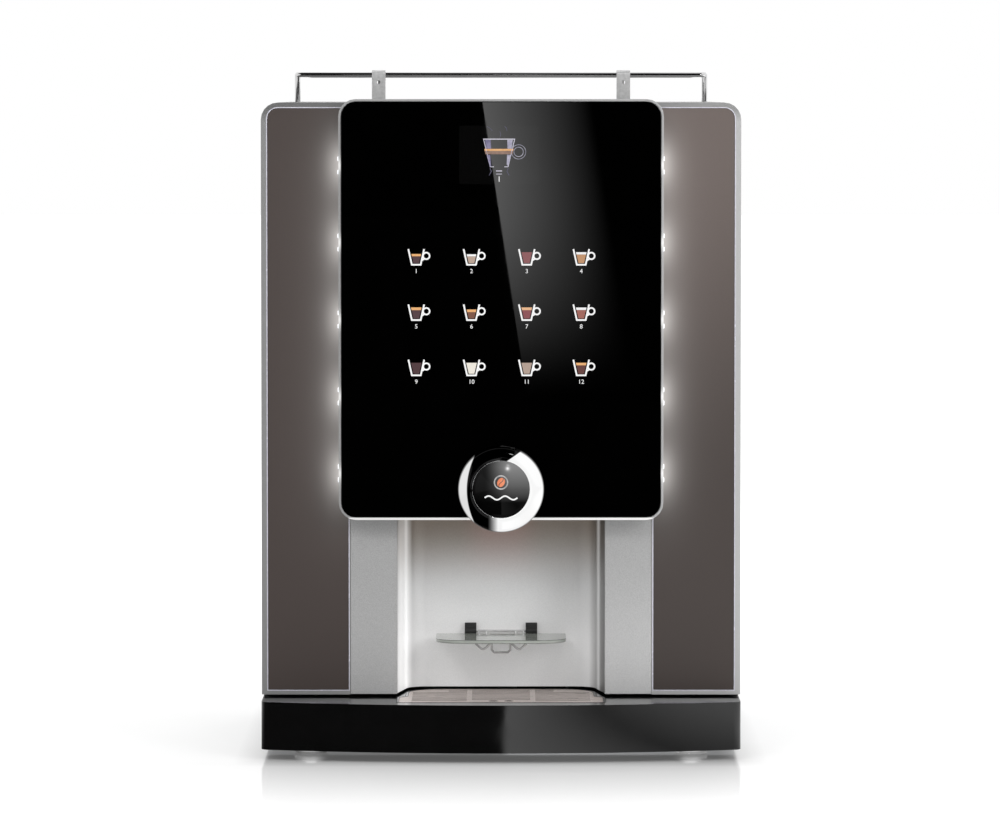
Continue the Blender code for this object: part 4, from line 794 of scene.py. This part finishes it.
def make_keys():
    """Twelve touch keys: a cup, the drink in it and the key's number."""
    white = []
    fills = {}
    for index, (drink, level, topping, thick) in enumerate(DRINKS):
        x = KEY_COLUMNS[index % 4]
        rim = KEY_ROWS[index // 4]
        white += cup_symbol(x, rim)
        place = (x * MM, (rim - NUMBER_DROP) * MM)
        white.append(number(str(index + 1), *place, NUMBER_HEIGHT * MM, GLASS, GLASS - PRINT))
        fills.setdefault(drink, []).append(band(x, rim, level + thick, DRINK_FOOT))
        if topping:
            fills.setdefault(topping, []).append(band(x, rim, level, level + thick - 0.1))
    keep("key_symbols", merged(white), paints["print_white"], "door")
    for index, (colour, loops) in enumerate(fills.items()):
        deeper = tuple(c * 0.92 for c in colour[:3]) + (1.0,)
        paint = glowing(f"drink_{index + 1}", deeper, colour, 0.95)
        mesh = merged([layer([loop], GLASS, GLASS - PRINT) for loop in loops])
        keep(f"drink_fill_{index + 1}", mesh, paint, "door")


make_keys()


# ---------------------------------------------------------------- display


PICTURE_GRAIN = 260  # scale of the noise in the picture's colours


def make_display():
    """A lit panel with the picture of a glass of espresso, drawn in mm from the panel's middle."""
    x0, z0 = -2.2, 701.8
    half_width, half_height, radius = 46.5, 34, 2
    first = ((x0 - half_width) * MM, (z0 - half_height) * MM)
    last = ((x0 + half_width) * MM, (z0 + half_height) * MM)
    plate = rounded_rectangle(*first, *last, radius * MM)
    window = layer([plate], GLASS, GLASS - PRINT)
    keep("display_window", window, black_glass("display_glass", 5), "door")
    front = GLASS - PRINT

    def spot(*points):
        return [((x0 + dx) * MM, (z0 + dz) * MM) for dx, dz in points]

    def add(name, loops, low, high, strength):
        mesh = merged([layer([loop], front, front - PRINT) for loop in loops])
        keep(name, mesh, glowing(name, low, high, strength, PICTURE_GRAIN), "door")

    lines = [stroke(spot((-18.5, 18.3), (18.5, 18.3)), 0.9 * MM)]
    lines.append(stroke(spot((-18.0, 18.0), (-10.4, -13.6)), 0.7 * MM))
    lines.append(stroke(spot((18.0, 18.0), (10.4, -13.6)), 0.7 * MM))
    lines.append(stroke(spot((-10.6, -13.8), (-6.0, -13.8)), 0.7 * MM))
    lines.append(stroke(spot((6.0, -13.8), (10.6, -13.8)), 0.7 * MM))
    lines.append(stroke(spot((-3.6, -18.6), (3.4, -18.6)), 1.0 * MM))
    lines.append(stroke(spot((-3.4, -22.2), (3.2, -22.2)), 0.6 * MM))
    add("espresso_rim", lines, linear(210, 206, 226), linear(244, 242, 252), 0.9)
    left = spot((-16.4, 17.4), (-9.8, 17.4), (-9.2, 7.2), (-11.6, 7.2), (-15.0, 7.2))
    right = spot((9.4, 17.4), (15.8, 17.4), (14.6, 7.2), (9.8, 7.2))
    left_low = spot((-14.6, 0.2), (-10.4, 0.2), (-9.2, -13.2), (-11.0, -13.2))
    right_low = spot((9.2, 0.2), (14.0, 0.2), (10.4, -13.2), (8.8, -11.0))
    add("espresso_glass_left", [left, left_low], linear(112, 106, 142), linear(162, 156, 190), 0.72)
    add("espresso_glass_right", [right, right_low], linear(150, 147, 172), linear(206, 203, 222), 0.8)
    crema = spot((-17.2, 7.0), (16.8, 7.0), (16.3, 4.7), (-16.8, 4.7))
    add("espresso_crema", [crema], linear(222, 168, 112), linear(246, 190, 130), 0.9)
    coffee = spot((-16.8, 4.6), (16.3, 4.6), (15.4, 0.8), (-15.8, 0.8))
    add("espresso_coffee", [coffee], linear(140, 112, 100), linear(166, 134, 118), 0.8)
    hub = ((x0 + 22.6) * MM, (z0 + 3.5) * MM)
    rings = []
    for outer, inner in ((8.6, 8.0), (5.8, 5.1)):
        loops = [circle(*hub, outer * MM), circle(*hub, inner * MM)]
        rings.append(layer(loops, front, front - PRINT))
    paint = glowing("espresso_handle", linear(120, 118, 140), linear(200, 198, 214), 0.8, 200)
    keep("espresso_handle", merged(rings), paint, "door")
    foot = [stroke(spot((-10.6, -15.5), (-9.0, -19.0), (-11.6, -23.8)), 0.8 * MM)]
    foot.append(stroke(spot((10.6, -15.5), (9.0, -19.0), (11.6, -23.8)), 0.8 * MM))
    foot.append(stroke(spot((1.2, 21.0), (1.8, 24.0), (1.0, 27.5)), 0.5 * MM))
    foot.append(stroke(spot((-8.0, 28.2), (-10.6, 31.0), (-14.0, 33.0)), 0.6 * MM))
    foot.append(stroke(spot((9.0, 27.4), (8.6, 31.0), (6.4, 33.2)), 0.6 * MM))
    add("espresso_foot", foot, linear(96, 92, 122), linear(130, 126, 156), 0.5)
    caption = number("1", x0 * MM, (z0 - 28.4) * MM, 6.4 * MM, front, front - PRINT)
    keep("espresso_number", caption, paints["print_white"], "door")


make_display()


# ---------------------------------------------------------------- badge


def ring_chrome(centre):
    """Polished chrome with a painted reflection: a bright right side, a bright crescent on the left, a
    black top and a darker outer rim.
    """
    paint = Paint("ring_chrome", 0.06, 1.0)
    x = paint.math("SUBTRACT", paint.x, centre.x)
    z = paint.math("SUBTRACT", paint.z, centre.z)
    # painted reflection: the bright parts are given off by the paint itself
    slant_x, slant_z = 0.569, 0.823  # the direction across the edge of the black top
    tilted = paint.math("SUBTRACT", paint.math("MULTIPLY", x, slant_x), paint.math("MULTIPLY", z, slant_z))
    upper = paint.levels(tilted, -0.0238, -0.0230)
    bottom = paint.math("POWER", paint.levels(x, -0.0155, -0.0035), 1.8)
    right = paint.math("MULTIPLY", bottom, upper)
    crescent = 5.85  # how far the left crescent's inner edge bends
    bow = paint.math("MULTIPLY", paint.math("MULTIPLY", z, z), crescent)
    past = paint.math("SUBTRACT", x, bow)
    left = paint.levels(past, -0.0402, -0.0394, 0.82, 0.0)
    bright = paint.math("MAXIMUM", right, left)
    square = paint.math("ADD", paint.math("MULTIPLY", x, x), paint.math("MULTIPLY", z, z))
    # painted reflection: the outer rim is darker
    rim = paint.levels(paint.math("SQRT", square), 0.0484, 0.0497, 1.0, 0.1)
    mottle = paint.levels(paint.noise(30), 0.3, 0.7, 0.96, 1.0)
    shown = paint.math("MULTIPLY", paint.math("MULTIPLY", bright, rim), mottle)
    paint.colour(paint.blend(shown, grey(34), grey(70)))
    paint.rough(paint.noise(60), 0.05, 0.08)
    paint.lit(grey(255), paint.math("MULTIPLY", shown, 0.94))
    return paint


def dome_black(centre):
    """Black lacquer with a painted sheen, paler towards the upper right, and a painted highlight near its
    top.
    """
    paint = Paint("dome_black", 0.05, 0.0, IOR=1.15)
    x = paint.math("SUBTRACT", paint.x, centre.x)
    z = paint.math("SUBTRACT", paint.z, centre.z)
    # painted sheen, paler towards the upper right
    up = paint.levels(z, -0.015, 0.026)
    side = paint.levels(x, -0.020, 0.014, 0.05, 1.0, smooth=True)
    glow = paint.math("MULTIPLY", paint.math("MULTIPLY", up, side), 0.24)
    # painted highlight near the dome's top
    across, rise = paint.math("SUBTRACT", x, 0.0076), paint.math("SUBTRACT", z, 0.0245)
    square = paint.math("ADD", paint.math("MULTIPLY", across, across), paint.math("MULTIPLY", rise, rise))
    spot = paint.math("POWER", paint.math("ADD", paint.math("DIVIDE", square, 0.0030**2), 1.0), -3.0)
    glow = paint.math("ADD", glow, paint.math("MULTIPLY", spot, 0.8))
    paint.colour(paint.blend(paint.noise(30), grey(3), grey(6)))
    paint.lit(paint.blend(paint.noise(40), grey(250), grey(255)), glow)
    paint.rough(paint.noise(80), 0.04, 0.07)
    return paint


def make_badge():
    """The chrome ring, the black dome in it and, on the dome, a bean in a circle over a plain wave."""
    low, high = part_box("badge_ring")
    centre = (low + high) / 2
    outer = (high.x - low.x) / 2
    back, front = high.y, low.y
    crest, bulge = 0.0365, 0.009
    arch = []
    for i in range(25):
        turn = math.radians(90 * i / 24)
        radius = crest + (outer - crest) * math.cos(turn)
        arch.append((radius, front + bulge * (1 - math.sin(turn))))
    profile = [(0.0338, back), (outer - 0.0006, back), (outer, back - 0.0006)] + arch
    profile += [(0.0350, front + 0.0003), (0.0341, front + 0.0012), (0.0338, front + 0.0030)]
    ring = turned(profile, centre)
    keep("fine_badge_ring", ring, ring_chrome(centre), "door", ["badge_ring"])
    dome_low, dome_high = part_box("badge_dome")
    rim = 0.0332
    rise = 0.0066
    sphere = (rim * rim + rise * rise) / (2 * rise)
    crown = dome_low.y + 0.0002
    dome = [(0, dome_high.y), (rim, dome_high.y)]
    for i in range(17):
        radius = rim * (1 - i / 16)
        dome.append((radius, crown + sphere - math.sqrt(sphere * sphere - radius * radius)))
    keep("fine_badge_dome", turned(dome, centre), dome_black(centre), "door", ["badge_dome"])
    line = []
    wire = 0.0003
    for i in range(12):
        turn = math.tau * i / 12
        radius = rim + wire + wire * math.cos(turn)
        line.append((radius, crown + rise - 0.0002 + wire * math.sin(turn)))
    keep("badge_line", turned(line, centre), paints["chrome"], "door")

    def on_dome(*loops):
        """A printed shape, cut fine enough to follow the dome."""
        flat_y, longest = -1.0, 0.0025
        mesh = layer(loops, flat_y, flat_y - PRINT)
        shape = bmesh.new()
        shape.from_mesh(mesh)
        bmesh.ops.triangulate(shape, faces=shape.faces)
        for _ in range(3):
            long = [e for e in shape.edges if e.calc_length() > longest]
            bmesh.ops.subdivide_edges(shape, edges=long, cuts=1)
            bmesh.ops.triangulate(shape, faces=shape.faces)
        for vertex in shape.verts:
            away = math.hypot(vertex.co.x - centre.x, vertex.co.z - centre.z)
            drop = sphere - math.sqrt(sphere * sphere - away * away)
            vertex.co.y = crown + drop + (vertex.co.y - flat_y)
        shape.to_mesh(mesh)
        shape.free()
        return mesh

    bean_z = centre.z + 0.0085
    halves = [on_dome(half) for half in bean_halves(centre.x, bean_z)]
    paint = glowing("bean_print", linear(236, 128, 84), linear(250, 152, 108), 0.9, 200)
    keep("badge_bean", merged(halves), paint, "door")
    paint = glowing("circle_print", linear(150, 150, 150), linear(226, 226, 226), 0.75, 160)
    loops = [circle(centre.x, bean_z, 0.0084), circle(centre.x, bean_z, 0.0069)]
    keep("badge_circle", on_dome(*loops), paint, "door")
    wave = []
    for i in range(33):
        along = -1 + i / 16
        wave.append((centre.x + 0.019 * along, centre.z - 0.0095 + 0.0022 * math.sin(math.tau * along)))
    keep("badge_wave", on_dome(stroke(wave, 0.0017)), paints["print_white"], "door")


def bean_halves(x, z):
    """The two halves of a coffee bean, parted by its S-shaped crease."""
    length, width, tilt = 0.0056, 0.0042, -28  # half the length, half the width, degrees
    crease = []
    for i in range(25):
        along = -1 + i / 12
        crease.append((0.20 * width * math.sin(math.pi * along), along * length * 0.985))
    turn = math.radians(tilt)
    halves = []
    for side in (-1, 1):
        outline = [(cx + side * 0.0004, cz) for cx, cz in crease]
        for i in range(25):
            step = math.radians(90 - 180 * i / 24)
            outline.append((side * width * math.cos(step), length * math.sin(step)))
        halves.append([turned_point(x, z, point, turn) for point in outline])
    return halves


def turned_point(x, z, point, turn):
    """A point that is turned about the origin and then moved to (x, z)."""
    across, up = point
    dx = across * math.cos(turn) - up * math.sin(turn)
    dz = across * math.sin(turn) + up * math.cos(turn)
    return (x + dx, z + dz)


make_badge()


# ---------------------------------------------------------------- studio


class Sky(Paint):
    """The world's nodes, built with the same helpers."""

    def __init__(self, world):
        self.tree = world.node_tree
        self.tree.nodes.clear()
        self.place = self.node("ShaderNodeTexCoord").outputs["Generated"]
        self.split = self.node("ShaderNodeSeparateXYZ")
        self.join(self.place, self.split.inputs[0])
        self.x, self.y, self.z = self.split.outputs


def make_world():
    """White to the camera, even grey light on matt faces, and a shaped studio in reflections."""
    world = bpy.data.worlds.new("studio")
    world.use_nodes = True
    bpy.context.scene.world = world
    sky = Sky(world)
    rays = sky.node("ShaderNodeLightPath")
    behind = sky.levels(sky.y, -0.25, 0.15, 0.0, 1.0, smooth=True)
    slant = sky.math("SUBTRACT", sky.x, sky.math("MULTIPLY", sky.z, 0.324))
    right = sky.levels(slant, 0.05, 0.075, 0.0, 0.95, smooth=True)
    steep = sky.math("MULTIPLY", sky.math("ABSOLUTE", sky.z), 0.9)
    left = sky.levels(sky.math("ADD", sky.x, steep), -0.24, -0.18, 0.85, 0.0, smooth=True)
    mirror = sky.math("MAXIMUM", sky.math("MAXIMUM", behind, right), left)
    soft = sky.levels(rays.outputs["Is Glossy Ray"], 0.0, 1.0, 0.80, 0.0)
    shaped = sky.math("ADD", soft, sky.math("MULTIPLY", rays.outputs["Is Glossy Ray"], mirror))
    seen = rays.outputs["Is Camera Ray"]
    strength = sky.math("ADD", seen, sky.math("MULTIPLY", sky.math("SUBTRACT", 1.0, seen), shaped))
    background = sky.node("ShaderNodeBackground")
    background.inputs["Color"].default_value = (1, 1, 1, 1)
    sky.join(strength, background.inputs["Strength"])
    out = sky.node("ShaderNodeOutputWorld")
    sky.join(background.outputs[0], out.inputs[0])


def make_floor():
    """A pale floor: soft shadows, a painted shadow under the machine, a faint mirror to the camera, and
    shaped in reflections.
    """
    bpy.ops.mesh.primitive_plane_add(size=60)
    floor = bpy.context.object
    floor.name = "studio_floor"
    paint = Paint("floor", 0.6, 0.0)
    paint.colour(paint.blend(paint.noise(3), grey(214), grey(218)))
    # painted shadow: the floor gives off less light under the machine
    under = paint.levels(paint.math("ABSOLUTE", paint.x), 0.27, 0.31, 1.0, 0.0)
    under = paint.math("MULTIPLY", under, paint.levels(paint.y, -0.33, -0.27))
    under = paint.math("MULTIPLY", under, paint.levels(paint.y, 0.3, 0.4, 0.3, 0.0))
    paint.lit(grey(255), paint.math("SUBTRACT", paint.levels(paint.y, 0.4, 2.0, 0.45, 0.9), under))
    gloss = paint.node("ShaderNodeBsdfGlossy")
    gloss.inputs["Roughness"].default_value = 0.05
    sheen = paint.node("ShaderNodeMixShader")
    near = paint.levels(paint.y, -0.72, -0.30, 0.07, 0.40)
    paint.join(paint.math("MULTIPLY", near, paint.levels(paint.y, -0.76, -0.70)), sheen.inputs[0])
    paint.join(paint.shader.outputs[0], sheen.inputs[1])
    paint.join(gloss.outputs[0], sheen.inputs[2])
    glow = paint.node("ShaderNodeEmission")
    edge = paint.levels(paint.x, 0.0, 0.012, smooth=True)
    fade = paint.levels(paint.x, 0.0, 0.26, 1.7, 0.35)
    far = paint.levels(paint.x, 0.26, 0.6, 0.0, 1.0)
    right = paint.math("MULTIPLY", edge, paint.math("ADD", fade, far))
    ahead = paint.levels(paint.y, -0.3, 0.3, 1.0, 0.0)
    ahead = paint.math("MULTIPLY", ahead, paint.levels(paint.y, -3.0, -1.6))
    rear = paint.levels(paint.y, -0.3, 0.3, 0.003, 0.9)
    side = paint.levels(paint.x, -1.5, -1.1, 0.85, 0.0)
    lit = paint.math("MAXIMUM", paint.math("ADD", paint.math("MULTIPLY", right, ahead), rear), side)
    paint.join(lit, glow.inputs["Strength"])
    rays = paint.node("ShaderNodeLightPath")
    chosen = paint.node("ShaderNodeMixShader")
    paint.join(rays.outputs["Is Glossy Ray"], chosen.inputs[0])
    paint.join(sheen.outputs[0], chosen.inputs[1])
    paint.join(glow.outputs[0], chosen.inputs[2])
    out = paint.tree.nodes["Material Output"]
    paint.join(chosen.outputs[0], out.inputs["Surface"])
    floor.data.materials.append(paint.material)


def make_card():
    """The soft strip that the glass mirrors, with one slanting edge, behind the camera."""
    top, foot = (-0.0453, 0.755), (0.0664, 0.0156)
    slope = (foot[0] - top[0]) / (top[1] - foot[1])
    far_x, card_y = foot[0] + 0.6, -8
    mesh = bpy.data.meshes.new("card")
    outline = ((far_x, foot[1]), foot, top, (far_x, top[1]))
    corners = [(x, card_y, z) for x, z in outline]
    mesh.from_pydata(corners, [], [(0, 1, 2, 3)])
    card = bpy.data.objects.new("studio_card", mesh)
    bpy.context.scene.collection.objects.link(card)
    paint = Paint("card", 0.5, 0.0)
    shift = paint.math("MULTIPLY", paint.math("SUBTRACT", paint.z, foot[1]), -slope)
    edge = paint.math("ADD", foot[0], shift)
    across = paint.levels(paint.math("SUBTRACT", paint.x, edge), 0.0, 0.27, 1.0, 0.0)
    soft = paint.math("POWER", across, 1.3)
    down = paint.levels(paint.z, foot[1], 0.58, 0.0, 1.0, smooth=True)
    glow = paint.node("ShaderNodeEmission")
    strength = paint.math("MULTIPLY", paint.math("MULTIPLY", soft, down), 2.3)
    paint.join(strength, glow.inputs["Strength"])
    paint.join(glow.outputs[0], paint.tree.nodes["Material Output"].inputs["Surface"])
    mesh.materials.append(paint.material)
    card.visible_camera = False
    card.visible_diffuse = False
    card.visible_shadow = False


def make_lamp(name, place, aim, size, power, mirrored=False):
    """A soft round lamp that reflections show only where asked."""
    lamp = bpy.data.lights.new(name, "AREA")
    lamp.shape = "DISK"
    lamp.size = size
    lamp.energy = power
    obj = bpy.data.objects.new(name, lamp)
    obj.location = place
    obj.rotation_euler = (Vector(aim) - Vector(place)).to_track_quat("-Z", "Y").to_euler()
    obj.visible_glossy = mirrored
    bpy.context.scene.collection.objects.link(obj)


def make_camera():
    """A long lens 7 m in front, level with the display and aimed a little down."""
    lens = bpy.data.cameras.new("camera")
    lens.lens = 216
    lens.sensor_width = 36
    lens.clip_end = 100
    camera = bpy.data.objects.new("camera", lens)
    target = Vector((-0.0012, -0.195, 0.392))
    camera.location = (-0.0012, -7.195, 0.777)
    camera.rotation_euler = (target - camera.location).to_track_quat("-Z", "Y").to_euler()
    bpy.context.scene.collection.objects.link(camera)
    bpy.context.scene.camera = camera


make_world()
make_floor()
make_card()
make_lamp("key", (-2.2, -4.2, 3.4), (0, -0.2, 0.3), 2.0, 55)
make_lamp("fill", (3.2, -3.6, 2.2), (0.1, -0.2, 0.4), 2.2, 80)
make_lamp("back", (0.5, 3.5, 3.2), (0, 0, 0.5), 2.5, 60)
make_lamp("glint", (0.74, -3.4, 2.62), (0, -0.24, 0.31), 0.34, 9, mirrored=True)
make_camera()
bpy.context.scene.view_settings.view_transform = "Standard"
